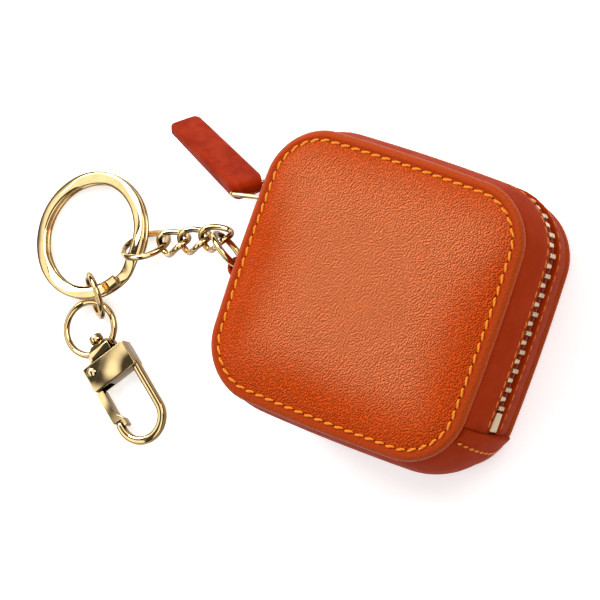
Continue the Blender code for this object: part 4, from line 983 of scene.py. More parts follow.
@dataclass
class Panel:
    """A padded leather panel: a rolled lip, a stitched groove and a soft crown.

    Each surface is a list of rows (inset, share, rise): the outline drawn in by the inset and shrunk to
    the share about its middle, at a rise from the panel's edge.
    """

    purse: Purse
    which: Side
    crown: float
    dome: float
    stitch_inset: float = 2.55
    stitch_pitch: float = 2.7
    stitch_lift: float = 0.06
    crown_inset: float = 8.0
    lip_share: float = 0.40
    lining_inset: float = 3.9
    lining_thick: float = 0.7
    middle_reach: float = 25.0
    side: int = field(init=False)
    edge: float = field(init=False)

    def __post_init__(self) -> None:
        """The way the panel faces, +1 for up, and the height of its edge."""
        self.side = self.which.value
        self.edge = self.purse.front_edge if self.which is Side.FRONT else self.purse.rear_edge

    def profile(self) -> np.ndarray:
        """The skin from the middle's rim to the hem under the lip, as (inset, rise) points."""
        rim = np.array([(8.0, 1.0), (6.2, 0.93), (4.7, 0.78), (3.5, 0.58)]) * [1.0, self.crown]
        roll = np.array([(2.95, 0.22), (2.5, -0.02), (2.05, 0.10), (1.5, 0.22), (0.9, 0.10), (0.30, -0.35)])
        hem = [(-0.02, 0.0), (0.05, -0.6), (0.45, -1.15), (1.0, -self.purse.hem_depth)]
        return smooth_curve(np.vstack([rim, roll + [0.0, self.crown * self.lip_share], hem]), 5)

    def level(self, inset: float) -> float:
        """The skin's rise at an inset between its edge and the middle's rim."""
        curve = self.profile()[::-1]
        top = curve[:int(np.argmax(curve[:, 0])) + 1]
        top = top[top[:, 1] > -0.05]
        return float(np.interp(inset, top[:, 0], top[:, 1]))

    def arch(self, share: float) -> float:
        """The middle's rise at a share of the way out: the crown, and a parabola as high as the dome."""
        return self.crown + self.dome * (1 - share**2)

    def sag(self, flat: np.ndarray) -> np.ndarray:
        """Slight unevenness of the padding: a few slow sines, which fade towards the lip."""
        x, y = flat[..., 0], flat[..., 1]
        fade = np.clip((1 - np.abs(x) / self.purse.outline.half_wide)
                       * (1 - np.abs(y) / self.purse.outline.half_high) * 3, 0, 1)
        return 0.07 * fade * (np.sin(x * 0.16 + 0.7) * np.cos(y * 0.13) + 0.6 * np.sin(x * 0.09 - y * 0.21))

    def surface(self, rows: list[Triple], soft: bool = True) -> np.ndarray:
        """The points of some rows, uneven where they are soft; the rear ones end at the ground."""
        flat = np.stack([self.purse.outline.ring(-inset) * share for inset, share, _ in rows])
        rise = np.array([row[2] for row in rows])[:, None] + self.sag(flat) * soft
        height = np.maximum(self.edge + self.side * rise, 0.0)
        return np.concatenate([flat, height[..., None]], axis=-1)

    def skin(self) -> Shape:
        """The leather as a closed dish.

        Rows run from the middle outwards on the outside, round the lip, along the hem, and back to the
        middle a leather's thickness below. The UV is the stitch's number and the inset.
        """
        along = lengths_along(looped(self.purse.outline.ring(-self.stitch_inset)))
        thick, under = self.purse.leather, -self.purse.hem_depth
        shares = np.linspace(0.04, 1.0, 16)[:-1]
        rows = [(self.crown_inset, share, self.arch(share)) for share in shares]
        rows += [(inset, 1.0, rise) for inset, rise in self.profile()]
        rows += [(2.4, 1.0, under), (3.45, 1.0, under), (3.6, 1.0, under + 0.15)]
        rows += [(inset, 1.0, self.level(inset) - thick) for inset in (3.7, 4.6, 6.0, 7.9)]
        rows += [(self.crown_inset, share, self.arch(share) - thick) for share in shares[::-3]]
        insets = [inset + self.middle_reach * (1 - share) for inset, share, _ in rows]
        uv = np.stack(np.meshgrid(along / along[-1] * self.stitches(), insets), axis=-1)
        return grid_shape(self.surface(rows), uv=uv)

    def padding(self) -> Shape:
        """The foam inside: a crowned pad, a fit gap inside the leather."""
        gap, base = self.purse.leather + self.purse.fit, 1.0 - self.purse.hem_depth
        rows = [(4.0, share, base) for share in np.linspace(0.05, 1.0, 14)]
        rows += [(3.9, 1.0, base + 0.1), (3.9, 1.0, self.level(3.9) - gap - 0.1)]
        rows += [(inset, 1.0, self.level(inset) - gap) for inset in (4.1, 5.0, 6.0, 7.9)]
        shares = np.linspace(0.05, 0.95, 13)[::-1]
        rows += [(self.crown_inset, share, self.arch(share) - gap) for share in shares]
        return grid_shape(self.surface(rows))

    def lining(self) -> Shape:
        """The lining's cloth: a thin flat sheet with a soft edge that closes the panel."""
        low, shares = -self.purse.hem_depth, np.linspace(0.92, 0.05, 13)
        sheet = [(1.0, 0.12), (0.985, 0.0), *((share, 0.0) for share in shares)]
        rows = [(self.lining_inset, share, low + self.lining_thick - soft) for share, soft in sheet[::-1]]
        rows += [(self.lining_inset, share, low + soft) for share, soft in sheet]
        points = self.surface(rows, False)
        return grid_shape(points, uv=np.concatenate([points, points[:, :1]], axis=1)[..., :2])

    def stitches(self) -> int:
        """How many stitches go round the panel."""
        line = looped(self.purse.outline.ring(-self.stitch_inset))
        return int(round(lengths_along(line)[-1] / self.stitch_pitch))

    def sewing(self) -> Shape:
        """The stitches round the panel, at even steps of its stitch line."""
        line = looped(self.purse.outline.ring(-self.stitch_inset, 60, 60))
        along = lengths_along(line)
        count = self.stitches()
        pitch = along[-1] / count
        places, ahead = on_loop((np.arange(count) + 0.5) * pitch, along, line, 0.5)
        level = self.edge + self.side * (self.crown * self.lip_share + self.stitch_lift)
        return stitch_row(np.c_[places, np.full(count, level)], np.c_[ahead, np.zeros(count)],
                          np.tile(UP * self.side, (count, 1)), pitch)

    def build(self) -> None:
        """Leather, padding, lining and stitches, each put as one half's piece."""
        parts = (("skin", self.skin(), PANEL, "leather"), ("padding", self.padding(), PADDING, "foam"),
                 ("lining_cloth", self.lining(), LINING, "lining"), ("stitches", self.sewing(), SEWING, ""))
        for label, shape, finish, kind in parts:
            piece = self.purse.put_half(self.which, f"panel_{label}", shape, finish, kind,
                                        f"front_corner_{kind}")


# Side strips and zip

@dataclass
class Sides:
    """The leather strips beside the zip and the full-width strip round the bottom, with its lining."""

    purse: Purse
    boot_proud: float = 0.6
    hem_proud: float = 0.5
    hem_length: float = 4.0
    stitch_pitch: float = 2.4
    stitch_from_edge: float = 1.0
    stitch_from_hem: float = 0.5
    stitch_from_fold: float = 0.4
    overlap: float = 0.25
    crease: float = 0.12
    crease_wide: float = 0.5
    end_round: float = 0.30
    end_wide: float = 0.5
    flare: float = 1.3
    flare_wide: float = 1.6

    def strip_profile(self, side: int) -> np.ndarray:
        """A strip's section: a curved face with a turned edge at the zip and a crease behind it."""
        purse = self.purse
        shares = np.array([0.0, 0.25, 0.5, 0.72, 0.86, 0.90, 0.94, 0.98, 1.0])
        rises = np.array([0.0, 0.0, 0.0, 0.0, -0.02, -0.10, 0.02, 0.0, -0.12])
        heights = purse.zip_level + side * (purse.reach - shares * (purse.reach - purse.leather_to_zip))
        face = purse.barrel(heights)
        nose = heights[-1] - side * 0.10
        thin = purse.leather * 0.92
        middle = [(float(purse.barrel(nose)) - thin * share, nose) for share in (0.35, 0.7)]
        inner = np.c_[face - thin - 0.08, heights][::-2]
        return smooth_curve(np.vstack([np.c_[face + rises, heights], middle, inner]), 3, closed=True)

    def boot_profile(self, lining: bool) -> np.ndarray:
        """The full-width strip's section, or its lining's."""
        purse = self.purse
        heights = purse.zip_level + np.linspace(-purse.reach, purse.reach, 13)
        share = (heights - purse.zip_level) / purse.reach
        face = purse.barrel(heights)
        if lining:
            outer, inner = face - purse.leather - purse.fit, face - purse.leather - 0.95
        else:
            outer, inner = face + self.boot_proud * (1 - share**2), face - purse.leather + 0.05
            outer[[0, -1]] -= 0.25
        return np.vstack([np.c_[outer, heights], np.c_[inner, heights][::-1]])

    def zip_stitches(self, side: int) -> Shape:
        """The row of fine stitches that holds a side strip to the zip's tape."""
        purse = self.purse
        start, end = purse.strip_ends[0] + 1.0, purse.strip_ends[1] - 1.0
        count = int((end - start) / self.stitch_pitch)
        pitch = (end - start) / count
        places, normals = purse.outline.at(start + (np.arange(count) + 0.5) * pitch)
        height = purse.zip_level + side * (purse.leather_to_zip + self.stitch_from_edge)
        out = np.c_[normals, np.zeros(count)]
        middles = np.c_[places + normals * (float(purse.barrel(height)) - 0.20), np.full(count, height)]
        return stitch_row(middles, np.cross(np.broadcast_to(UP, out.shape), out), out, pitch, 0.20, 6.0)

    def hem_stitches(self, distance: float) -> Shape:
        """The row of stitches across one turned end of the bottom strip."""
        purse = self.purse
        reach = purse.reach - self.stitch_from_hem
        count = int(2 * reach / self.stitch_pitch)
        pitch = 2 * reach / count
        heights = purse.zip_level - reach + (np.arange(count) + 0.5) * pitch
        (place,), (normal,) = purse.outline.at(np.array([distance]))
        share = (heights - purse.zip_level) / purse.reach
        face = purse.barrel(heights) + self.boot_proud * (1 - share**2)
        middles = np.c_[place + normal * (face[:, None] + self.hem_proud - 0.1), heights]
        out = np.tile(np.r_[normal, 0.0], (count, 1))
        return stitch_row(middles, np.tile(UP, (count, 1)), out, pitch, 0.25, 8.0)

    def build(self) -> None:
        """The strips beside the zip, the bottom strip with its lining, and the rows of stitches."""
        purse = self.purse
        for side in Side:
            purse.put_half(side, "zip_stitches", self.zip_stitches(side.value), SEWING)
        for side in Side:
            strip = purse.strip(*purse.strip_ends, self.strip_profile(side.value))
            purse.put_half(side, "side_strip", strip, SIDE, "gusset", "front_gusset_end")
        start = purse.zip_right - self.overlap
        end = purse.outline.distance[-1] + purse.zip_left + self.overlap
        steps = np.linspace(start, end, 400)
        nearest = np.minimum(steps - start, end - steps)
        fold = np.clip(2 - nearest / self.hem_length, 0, 1)
        crease = self.crease * np.exp(-((nearest - self.hem_length) / self.crease_wide) ** 2)
        rounded = self.end_round * np.clip(1 - nearest / self.end_wide, 0, 1)
        flare = self.flare * np.exp(-nearest / self.flare_wide)
        proud = self.hem_proud * fold - crease - (rounded - flare)
        boot = purse.strip(start, end, self.boot_profile(False), 0.6, proud)
        put("bottom_strip", boot, SIDE, "purse", "bottom_gusset")
        seam = self.hem_length - self.stitch_from_fold
        hems = self.hem_stitches(start + seam) + self.hem_stitches(end - seam)
        put("bottom_strip_stitches", hems, SEWING, "purse")
        lining = purse.strip(start, end, self.boot_profile(True), 1.5)
        put("bottom_strip_lining", lining, LINING, "purse", "bottom_gusset_lining")


@dataclass
class Zip:
    """The closed zip: two tapes with a beaded edge, two rows of teeth that mesh, and the end stop."""

    purse: Purse
    tape: float = 0.6
    tape_edge: float = 1.25
    tape_hidden: float = 4.0
    pitch: float = 4.6
    tooth_wide: float = 1.15
    foot_long: float = 1.9
    foot_end: float = 2.45
    head_long: float = 1.9
    head_past: float = 1.10
    tooth_lift: float = 0.45
    first_tooth: float = 1.7
    stop_length: float = 4.8
    stop_thick: float = 1.2
    stop_lift: float = 0.9
    tape_level: float = field(init=False)

    def __post_init__(self) -> None:
        """The offset of the tape's outer face."""
        purse = self.purse
        face = float(purse.barrel(purse.zip_level + purse.leather_to_zip))
        self.tape_level = face - purse.leather - purse.fit

    def tape_profile(self, side: int) -> np.ndarray:
        """The tape's section: flat beside the teeth, a round bead at its edge, sunk under the leather."""
        purse, outer, low = self.purse, self.tape_level, self.tape_level - self.tape
        edge, turn, far = self.tape_edge, purse.leather_to_zip, purse.leather_to_zip + self.tape_hidden
        at_turn, at_far = purse.barrel(purse.zip_level + side * np.array([turn, far]))
        drop = at_turn - at_far
        points = [(outer - 0.1, edge - 0.6), (outer, edge), (outer + 0.55, edge + 0.30),
                  (outer + 0.70, edge + 0.75), (outer + 0.35, edge + 1.2), (outer, edge + 1.4), (outer, turn),
                  (outer - drop, far), (low - drop, far), (low, turn), (low, edge + 0.6), (low, edge - 0.6),
                  (low, 0.2), (outer - 0.15, 0.12)]
        return smooth_curve(np.array(points) * [1.0, side] + [0.0, purse.zip_level], 3, closed=True)

    def teeth(self, side: int, start: float, end: float) -> Shape:
        """A row of teeth: soft blocks that reach past the middle, half a pitch off the other row."""
        stagger = self.pitch / 2 if side > 0 else 0.0
        places, normals = self.purse.outline.at(np.arange(start + stagger, end, self.pitch))
        count = len(places)
        out = np.c_[normals, np.zeros(count)]
        along = np.cross(np.broadcast_to(UP, out.shape), out)
        frames = np.stack([along, np.tile(UP * side, (count, 1)), out], axis=-1)
        level = self.tape_level + self.tooth_lift
        origins = np.c_[places + normals * level, np.full(count, self.purse.zip_level)]
        wide = self.tooth_wide / 2
        outline = np.array(mirrored([(-wide, -1), (wide, -1)]))

        def plate(middle: float, length: float, share: float, thick: float, top: float) -> Shape:
            """A bevelled plate across the zip, with its outer face at a height."""
            flat = rounded_outline(list(outline * [share, length / 2]), [0.2] * 4, 1)
            return slab(flat, thick, 0.14, np.array([0.0, middle, top - thick / 2]), np.eye(3), steps=1)

        foot = plate(self.foot_end - self.foot_long / 2, self.foot_long, 1.0, 1.3, 0.72)
        head = plate(self.head_long / 2 - self.head_past, self.head_long, 0.90, 0.9, 0.66)
        return (foot + head).placed(origins, frames)

    def stop(self) -> Shape:
        """The bottom stop: a bevelled wedge, wider towards the zip's end."""
        half = self.stop_length / 2
        (place,), (normal,) = self.purse.outline.at(np.array([self.purse.strip_ends[1] - 0.3 - half]))
        outward, along = np.array([*normal, 0.0]), np.array([-normal[1], normal[0], 0.0])
        centre = np.array([*place, self.purse.zip_level]) + outward * (self.tape_level + self.stop_lift)
        outline = rounded_outline(mirrored([(-half, -2.2), (half, -1.6)]), [0.35] * 4)
        frame = np.array([along, np.cross(outward, along), outward]).T
        return slab(outline, self.stop_thick, 0.22, centre, frame)

    def build(self) -> None:
        """Tapes, teeth and stop."""
        purse = self.purse
        row = purse.lid_left + self.first_tooth, purse.strip_ends[1] - self.stop_length - self.pitch / 4
        for side in Side:
            tape = purse.strip(*purse.strip_ends, self.tape_profile(side.value))
            purse.put_half(side, "tape", tape, TAPE, "zip_tape", "front_zip_tape_end")
        put("front_teeth", self.teeth(1, *row), TOOTH, "lid", sharp_deg=30)
        put("rear_teeth", self.teeth(-1, *row), TOOTH, "purse", sharp_deg=30)
        put("zip_end_stop", self.stop(), TOOTH, "purse", "zip_bottom_stop")


# Slider and pull

@dataclass
class Slider:
    """The zip's slider with its lug, the bent wire and the folded leather tab."""

    centre: Triple = (-33.82, 13.975, 18.4)
    hole: Triple = (-39.115, 13.975, 18.4)
    tab_hole: Triple = (-47.308, 13.975, 14.922)
    tab_along: Triple = (-0.89018, 0.30651, -0.3371)
    tab_across: Triple = (-0.45543, -0.57787, 0.67724)
    tab_face: Triple = (0.01279, 0.75639, 0.654)
    length: float = 8.0
    width: float = 6.8
    plate: float = 1.1
    outer_lift: float = 2.55
    inner_lift: float = 3.05
    web: float = 1.0
    lug_radius: float = 2.05
    wire: float = 1.2
    near_half: float = 1.95
    tab_reach: float = 32.4
    tab_width: float = 8.4
    tab_corner: float = 1.8
    tab_edge: float = 0.45
    root_thick: float = 4.4
    tip_thick: float = 2.3

    def slider(self) -> Shape:
        """Two bevelled plates with a narrow nose, the post between them, and the pierced lug."""
        centre, hole = np.array(self.centre), np.array(self.hole)
        frame = np.array([[-1.0, 0.0, 0.0], [0.0, 1.0, 0.0], [0.0, 0.0, -1.0]]).T
        plate_frame = frame[:, [1, 2, 0]]
        half, wide, waist = self.length / 2, self.width / 2, -self.length / 20
        outline = rounded_outline(mirrored([(-half, -wide * 0.72), (waist, -wide), (half, -wide * 0.80)]),
                                  [1.0, 2.5, 1.0, 1.0, 2.5, 1.0])
        outer = slab(outline, self.plate, 0.35, centre + frame[:, 0] * self.outer_lift, plate_frame)
        inner = slab(outline * [1.0, 0.70], self.plate, 0.3, centre - frame[:, 0] * self.inner_lift,
                     plate_frame)
        post_centre = centre - frame[:, 0] * 0.25 + frame[:, 1] * (-half + 1.4)
        post = soft_block((2.7, 1.0, 0.9), 0.4).placed(post_centre[None], frame[None])
        lug_ring = ring(self.hole, frame, self.lug_radius, soft_box_section(0.40, 0.50, 0.6), 48)
        web_end = float(np.linalg.norm(hole - centre)) - 1.75
        web = rounded_outline(mirrored([(2.6, -2.45), (web_end, -2.0)]), [0.2, 0.3, 0.3, 0.2])
        return outer + inner + post + lug_ring + slab(web, self.web, 0.12, centre, frame)

    def pull_wire(self) -> Shape:
        """A round wire bent to a closed trapezoid, narrow at the lug and wide at the tab."""
        hole, across = np.array(self.hole), np.array(self.tab_across)
        wide = self.tab_width / 2 + 0.3 + self.wire / 2
        along = np.array(self.tab_hole) - hole
        reach = float(np.linalg.norm(along))
        corners = [(0.0, -self.near_half), (0.0, self.near_half), (reach, wide), (reach, -wide)]
        flat = rounded_outline(corners, [0.9] * 4, 8)
        line = looped(hole + flat[:, :1] * (along / reach) + flat[:, 1:] * across)
        steps = lengths_along(line)
        path = points_at(np.linspace(0.0, steps[-1], 120, endpoint=False), steps, line)
        return sweep(path, ellipse_section(self.wire / 2, self.wire / 2), np.cross(along, across), True)

    def tab(self) -> Shape:
        """The folded strip: a thick round root that thins to the tip, with rounded edges.

        Each row is a station along the tab, and its section is a soft box that follows the strip's
        width and thickness there; the root closes as a half round about the bar.
        """
        along, across, face = (np.array(v) for v in (self.tab_along, self.tab_across, self.tab_face))
        root, tip, half = self.root_thick / 2, self.tip_thick / 2, self.tab_width / 2
        reach, corner = self.tab_reach, self.tab_corner
        turn = np.linspace(math.pi * 0.97, math.pi / 2, 12)
        end_turn = np.linspace(0.0, math.pi / 2 * 0.96, 9)[1:]
        back = root * np.cos(turn)
        run = np.r_[np.linspace(0.0, reach - corner, 34)[1:], reach - corner + corner * np.sin(end_turn)]
        where = np.r_[back, run]
        thick = np.r_[root * np.sin(turn), np.interp(run, [0.0, reach], [root, tip])]
        thick[-3:] *= [0.93, 0.82, 0.55]
        wide = np.full(len(where), half)
        wide[:len(back)] -= 1.2 * np.clip((0.8 - back) / 3.0, 0, 1)
        wide[-len(end_turn):] -= corner * (1 - np.cos(end_turn))
        section = soft_box_section(1.0, 1.0, 0.22, 40)[None] * np.stack(
            [wide, np.maximum(thick, self.tab_edge)], -1)[:, None]
        return grid_shape(np.array(self.tab_hole) + where[:, None, None] * along
                          + section[..., :1] * across + section[..., 1:] * face)

    def build(self) -> None:
        """Slider, wire and tab."""
        put("slider_body", self.slider(), GOLD, "slider", "zip_slider", sharp_deg=40)
        put("pull_loop", self.pull_wire(), GOLD, "wire_loop", "pull_wire")
        put("pull_tab_leather", self.tab(), TAB, "tab", "pull_tab", sharp_deg=50)


# Strap, chain and rings

@dataclass
class Strap:
    """The short leather strap between the purse and the chain."""

    anchor: Triple = (-41.074, -5.1, 17.1)
    face: float = -36.574
    radius: float = 2.2
    stem: float = 0.62

    def build(self) -> None:
        """A strip of leather folded round the first ring: a flat band along a drop-shaped loop."""
        anchor = np.array(self.anchor)
        turn = math.asin(self.stem / self.radius)
        angles = np.linspace(turn, 2 * math.pi - turn, 40)
        loop = np.c_[self.radius * np.cos(angles), self.radius * np.sin(angles)]
        run = np.linspace(self.face - anchor[0], loop[0, 0] + 0.2, 6)
        stem = np.full(len(run), self.stem)
        path = np.vstack([np.c_[run, stem], loop, np.c_[run[::-1], -stem]])
        path = anchor + np.c_[path, np.zeros(len(path))]
        shape = sweep(path, soft_box_section(0.48, 1.45, 0.35), UP, False)
        put("chain_strap_leather", shape, SIDE, "purse", "chain_strap", sharp_deg=50)


@dataclass
class WireRing:
    """A closed ring of round wire."""

    body: str
    node: str
    centre: Triple
    frame: Axes
    radius: float
    wire: float = 0.8

    def build(self) -> None:
        """The ring."""
        shape = ring(self.centre, self.frame, self.radius, ellipse_section(self.wire, self.wire))
        put(f"{self.body}_metal", shape, GOLD, self.body, self.node)


@dataclass
class CurbLink:
    """A twisted curb link: an ellipse whose sides rise and fall by the sine of twice the turn."""

    number: int
    centre: Triple
    frame: Axes = ((-0.880757, 0.266445, -0.391503), (-0.320569, -0.943945, 0.07876),
                   (-0.348572, 0.194872, 0.9168))
    half_sizes: Triple = (4.8, 2.9, 1.35)
    wire: float = 0.8

    def build(self) -> None:
        """The link."""
        turn, frame = full_turn(72), np.array(self.frame)
        local = np.c_[np.cos(turn), np.sin(turn), -np.sin(2 * turn)] * self.half_sizes
        shape = sweep(np.array(self.centre) + local @ frame.T, ellipse_section(self.wire, self.wire),
                      frame[:, 2], True)
        put(f"chain_link_{self.number}", shape, GOLD, f"link_{self.number}", f"curb_link_{self.number}")


@dataclass
class SplitRing:
    """The key ring: flat wire in two turns that lie on each other."""

    centre: Triple = (-90.685, -11.042, 3.789)
    frame: Axes = ((0.905937, 0.406737, -0.117661), (-0.403349, 0.913545, 0.052386),
                   (0.128796, 0.0, 0.991671))
    outer: float = 16.7
    band: float = 3.3
    wire: float = 1.3
    turn_gap: float = 0.3
    start_deg: float = 24.0
    ramp_deg: float = 24.0
    end_gap_deg: float = 5.0

    def build(self) -> None:
        """Two turns of a soft-edged flat section with a smooth ramp between them, leaning unevenly."""
        frame = np.array(self.frame)
        turns = np.linspace(0.0, 720 - self.ramp_deg - 2 * self.end_gap_deg, 260)
        climb = np.clip((turns - (360 - self.ramp_deg - self.end_gap_deg)) / self.ramp_deg, 0, 1)
        heights = (self.wire + self.turn_gap) / 2 * (2 * climb**2 * (3 - 2 * climb) - 1)
        angles = np.radians(turns + self.start_deg)
        outward = np.cos(angles)[:, None] * frame[:, 0] + np.sin(angles)[:, None] * frame[:, 1]
        path = (np.array(self.centre) + (self.outer - self.band / 2) * outward
                + heights[:, None] * frame[:, 2])
        lean = 0.13 * np.sin(2 * angles + 0.6) + 0.05 * np.sin(5 * angles)
        shape = sweep(path, soft_box_section(self.band / 2, self.wire / 2, 0.66, 28),
                      frame[:, 2] + lean[:, None] * outward, False)
        put("split_ring_metal", shape, GOLD, "split_ring", "split_ring")


STRAP_RING = WireRing("strap_ring", "strap_ring", (-45.574, -2.211, 16.348), (
    (-0.841511, 0.0, 0.54024), (0.54024, 0.0, 0.841511), (0.0, 1.0, 0.0)), 5.4, 0.85)
CURB_LINKS = (CurbLink(1, (-52.133, -0.525, 12.903)), CurbLink(2, (-58.915, -2.994, 10.219)),
              CurbLink(3, (-65.696, -5.462, 7.535)))
SMALL_RING = WireRing("small_ring", "small_ring", (-73.727, -8.478, 5.884), (
    (-0.931738, 0.17444, -0.318488), (-0.357661, -0.592501, 0.721818), (-0.062791, 0.786456, 0.614447)), 5.95)
JUMP_RING = WireRing("jump_ring", "hook_jump_ring", (-83.095, -25.055, 5.575), (
    (0.276097, 0.739929, -0.613412), (-0.801845, -0.174554, -0.571467), (-0.529919, 0.649643, 0.545115)), 5.6)


# Swivel and snap hook

@dataclass
class SnapHook:
    """The swivel's eye and pin, and the hook with its gate and rivet."""

    eye: Triple = (-82.787, -33.547, 2.9)
    frame: Axes = ((0.809017, 0.587785, 0.0), (-0.587785, 0.809017, 0.0), (0.0, 0.0, 1.0))
    collar_start: float = 4.775
    collar_end: float = 8.175
    body_start: float = 8.475
    body_end: float = 15.675
    half_span: float = 6.0
    side: float = 0.8
    straight: float = 11.7
    tip_rise: float = 1.9
    half_thick: float = 2.1
    cheek: float = 0.62
    slot_wall: float = -2.15
    heel: float = 1.2
    gate_thick: float = 2.5
    wire: float = 1.1
    eye_radius: float = 6.9
    eye_wire: float = 0.85
    origin: np.ndarray = field(init=False)
    axes: np.ndarray = field(init=False)
    rivet_place: np.ndarray = field(init=False)

    def __post_init__(self) -> None:
        """The eye's middle and the frame as arrays, and the rivet's place along and across the hook."""
        self.origin, self.axes = np.array(self.eye), np.array(self.frame)
        self.rivet_place = np.array([self.body_start + 2.0, self.heel - self.half_span])

    def local(self, points: np.ndarray) -> np.ndarray:
        """Points from the hook's own frame: along it from the eye, across it, and up."""
        return self.origin + points @ self.axes.T

    def swivel_eye(self) -> Shape:
        """The eye's ring and its collar: an eight-sided section that widens away from the ring."""
        loop = ring(self.eye, self.frame, self.eye_radius, ellipse_section(self.eye_wire, self.eye_wire), 80)
        half_w, half_t, cut = 4.2, 2.0, 1.2
        corners = mirrored([(-half_w, -half_t + cut), (-half_w + cut, -half_t), (half_w - cut, -half_t),
                            (half_w, -half_t + cut)])
        outline = rounded_outline(corners, [0.14] * 8, 3)
        start, end = self.collar_start, self.collar_end
        stations = np.array([(start, 0.62), (start + 0.12, 0.66), (start + 1.3, 0.97), (start + 1.5, 1.0),
                             (end - 0.2, 1.0), (end, 0.95)])
        flat = outline[None] * stations[:, 1, None, None]
        along = np.broadcast_to(stations[:, 0, None, None], (*flat.shape[:2], 1))
        return loop + grid_shape(self.local(np.concatenate([along, flat], axis=-1)))

    def pin(self) -> Shape:
        """The headed pin: a drum-shaped head inside the eye and the shank that holds the hook."""
        end, shank_end = self.collar_start - 0.3, self.body_start + 2.5
        profile = np.array([(0.05, end - 2.2), (1.2, end - 2.2), (1.6, end - 2.05), (1.8, end - 1.7),
                            (1.8, end - 0.5), (1.6, end - 0.15), (1.3, end), (0.8, end),
                            (0.8, shank_end), (0.05, shank_end)])
        return turned(profile, self.origin, self.axes[:, 0])

    def hook(self) -> Shape:
        """The cast body, a core between two cheeks that leave a slot for the gate, and the bent wire."""
        half_w, cheek = self.half_span + self.side, self.cheek
        start, end, wall = self.body_start, self.body_end, self.slot_wall
        whole = rounded_outline(mirrored([(start, -half_w), (end, -half_w)]), [0.50] * 4, 4)
        rise = UP * (self.half_thick - cheek / 2)
        core = rounded_outline([(start, -half_w), (start + 0.6, -half_w), (start + 0.6, wall), (end, wall),
                                (end, half_w), (start, half_w)], [0.49, 0.05, 0.2, 0.05, 0.49, 0.49], 4)
        block = (slab(whole, cheek, 0.28, self.origin + rise, self.axes, 0.02)
                 + slab(whole, cheek, 0.02, self.origin - rise, self.axes, 0.28)
                 + slab(core, 2 * (self.half_thick - cheek) + 0.1, 0.02, self.origin, self.axes))
        turn_x = end + self.straight
        bend = np.linspace(math.pi / 2, -math.pi / 2, 40)
        run = np.linspace(end - 1.1, turn_x, 12)[:-1]
        back = np.linspace(turn_x, turn_x - self.tip_rise, 6)[1:]
        path = np.vstack([np.c_[run, np.full(11, self.half_span)],
                          np.c_[turn_x + self.half_span * np.cos(bend), self.half_span * np.sin(bend)],
                          np.c_[back, np.full(5, -self.half_span)]])
        section = np.stack([soft_box_section(self.wire, self.wire, 0.72, 20)] * len(path))
        section[-1] *= 0.82
        return block + sweep(self.local(np.c_[path, np.zeros(len(path))]), section, UP, False)

    def gate(self) -> Shape:
        """The gate: a flat bar with a round heel at the rivet and a nose that catches the hook's tip."""
        outer, inner, nose = (-self.half_span + step for step in (-1.05, 1.05, 1.4))
        tip = self.body_end + self.straight - self.tip_rise
        angles = np.radians(np.linspace(90, 270, 12))
        heel = self.rivet_place + self.heel * np.c_[np.cos(angles), np.sin(angles)]
        bar = rounded_outline([(self.body_end, outer), (tip - 0.3, outer), (tip - 0.3, nose),
                               (tip + 1.7, nose), (tip + 1.7, nose + 0.9), (tip - 0.4, nose + 0.9),
                               (tip - 2.2, inner), (self.body_end, inner)],
                              [0.6, 0.25, 0.15, 0.3, 0.4, 0.6, 0.8, 0.8], 4)
        return slab(np.vstack([heel, bar]), self.gate_thick, 0.10, self.origin, self.axes)

    def rivet(self) -> Shape:
        """The rivet: a shank with a low domed head on either face."""
        head = np.array([(0.05, -2.72), (0.6, -2.68), (1.1, -2.5), (1.3, -2.3), (0.6, -2.3)])
        profile = np.vstack([head, head[::-1] * [1.0, -1.0]])
        return turned(profile, self.local(np.r_[self.rivet_place, 0.0]), UP, 28)

    def build(self) -> None:
        """Eye, pin, hook, gate and rivet."""
        put("swivel_eye_metal", self.swivel_eye(), GOLD, "eye", "swivel_eye", sharp_deg=40)
        put("swivel_pin_metal", self.pin(), GOLD, "hook", "swivel_pin", sharp_deg=50)
        put("hook_body_metal", self.hook(), GOLD, "hook", "hook_frame", sharp_deg=45)
        put("hook_gate_metal", self.gate(), GOLD, "gate", "hook_gate", sharp_deg=45)
        put("gate_rivet_metal", self.rivet(), GOLD, "hook", "gate_rivet", sharp_deg=50)


# Studio

def stand(data: bpy.types.ID, place: Triple, right: np.ndarray, up: np.ndarray) -> bpy.types.Object:
    """A lamp's or camera's object at a place, turned so that its x and y axes point right and up."""
    turn = np.eye(4)
    turn[:3, :3] = np.array([right, up, np.cross(right, up)]).T
    turn[:3, 3] = place
    item = bpy.data.objects.new(data.name, data)
    item.matrix_world = Matrix(turn.tolist())
    bpy.context.scene.collection.objects.link(item)
    return item


@dataclass
class Light:
    """One soft rectangular light that faces the purse."""

    name: str
    place: Triple
    side: float
    power: float
    aim: Triple = (-0.02, -0.005, 0.02)

    def build(self) -> None:
        """The light, turned so that its axis meets its aim."""
        data = bpy.data.lights.new(self.name, "AREA")
        data.shape, data.size, data.size_y, data.energy = "RECTANGLE", self.side, self.side, self.power
        back = unit(np.array(self.place) - np.array(self.aim))
        right = unit(np.cross([0.0, 1.0, 0.0], back))
        stand(data, self.place, right, np.cross(back, right))


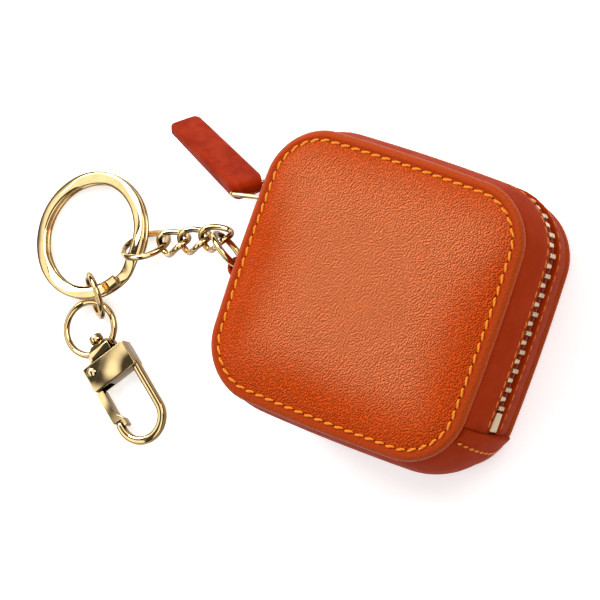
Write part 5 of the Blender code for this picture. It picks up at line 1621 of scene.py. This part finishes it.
@dataclass
class Stage:
    """The pale floor, the soft lights and the camera of the photograph."""

    camera: Triple = (0.2321, 0.0182, 0.5636)
    right: Triple = (0.8498, 0.3288, -0.4119)
    down: Triple = (0.3151, -0.9435, -0.1029)
    lens: float = 150.84
    sensor: float = 36.0
    nearest: float = 0.01
    floor_half: float = 3000.0
    floor_level: float = -0.02
    ambient: float = 2.5
    panel_turn_deg: float = -36.87
    panel_scale: float = 0.35
    panel_phase: float = 1.86
    horizon: tuple[tuple[float, float], ...] = ((0.05, 0.04), (0.45, 0.06), (0.62, 0.62), (0.80, 0.66))
    ground: float = 0.40
    zenith: float = 0.60

    def build(self) -> None:
        """Camera, floor, surround and lights, and colours shown as they are."""
        bpy.context.scene.view_settings.view_transform = "Standard"
        self.build_camera()
        self.build_floor()
        self.build_surround()
        Light("key", (-0.53, 0.30, 0.60), 0.45, 6.6).build()
        Light("back", (0.45, 0.55, 0.70), 0.5, 3.4).build()

    def build_camera(self) -> None:
        """The camera, from its place and the directions of the picture's right and down."""
        data = bpy.data.cameras.new("camera")
        data.lens, data.sensor_width, data.sensor_fit = self.lens, self.sensor, "HORIZONTAL"
        data.clip_start = self.nearest
        right, up = unit(np.array(self.right)), -np.array(self.down)
        up = unit(up - (up @ right) * right)
        bpy.context.scene.camera = stand(data, self.camera, right, up)

    def build_floor(self) -> None:
        """A wide level sheet under the purse."""
        line = np.linspace(-self.floor_half, self.floor_half, 3)
        wide, long = np.meshgrid(line, line)
        points = np.stack([wide, long, np.full_like(wide, self.floor_level)], axis=-1)
        put("studio_floor", grid_shape(points, close_columns=False), FLOOR, None)

    def build_surround(self) -> None:
        """An even pale surround, with a dark band and dark panels that polished metal can mirror."""
        world = bpy.data.worlds.new("studio")
        bpy.context.scene.world = world
        nodes = Nodes(world)
        place = nodes.coordinates("Generated")
        bands = nodes.add("ValToRGB", {0: nodes.parts(place)[2]})
        stops = bands.color_ramp.elements
        stops[0].color, stops[1].color = (*(self.ground,) * 3, 1.0), (*(self.zenith,) * 3, 1.0)
        for position, shade in self.horizon:
            stops.new(position).color = (*(shade,) * 3, 1.0)
        turned_place = nodes.add("Mapping", {
            "Vector": place, "Rotation": (0.0, 0.0, math.radians(self.panel_turn_deg))}).outputs["Vector"]
        panels = nodes.add("TexWave", {"Vector": turned_place, "Scale": self.panel_scale, "Distortion": 0.0,
                                       "Phase Offset": self.panel_phase})
        edges = nodes.spread(panels.outputs["Fac"], 0.30, 0.40, 0.05, 1.0, Ramp.EVEN)
        nodes.feed(nodes.tree.nodes["Background"], {
            "Color": nodes.colour(1.0, bands.outputs[0], edges, Mix.DARKEN), "Strength": self.ambient})


def main() -> None:
    """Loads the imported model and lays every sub-assembly's looks over it."""
    logging.basicConfig(level=logging.INFO, format="%(message)s")
    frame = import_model()
    purse = Purse()
    parts = (Stage(), Panel(purse, Side.FRONT, 2.6, 1.0), Panel(purse, Side.REAR, 2.4, 0.0), Sides(purse),
             Zip(purse), Slider(), Strap(), STRAP_RING, *CURB_LINKS, SMALL_RING, SplitRing(), JUMP_RING,
             SnapHook())
    for part in parts:
        part.build()
    spring = frame["nodes"]["gate_spring"]
    spring.material_slots[0].material = STEEL.material()


if __name__ == "__main__":
    main()
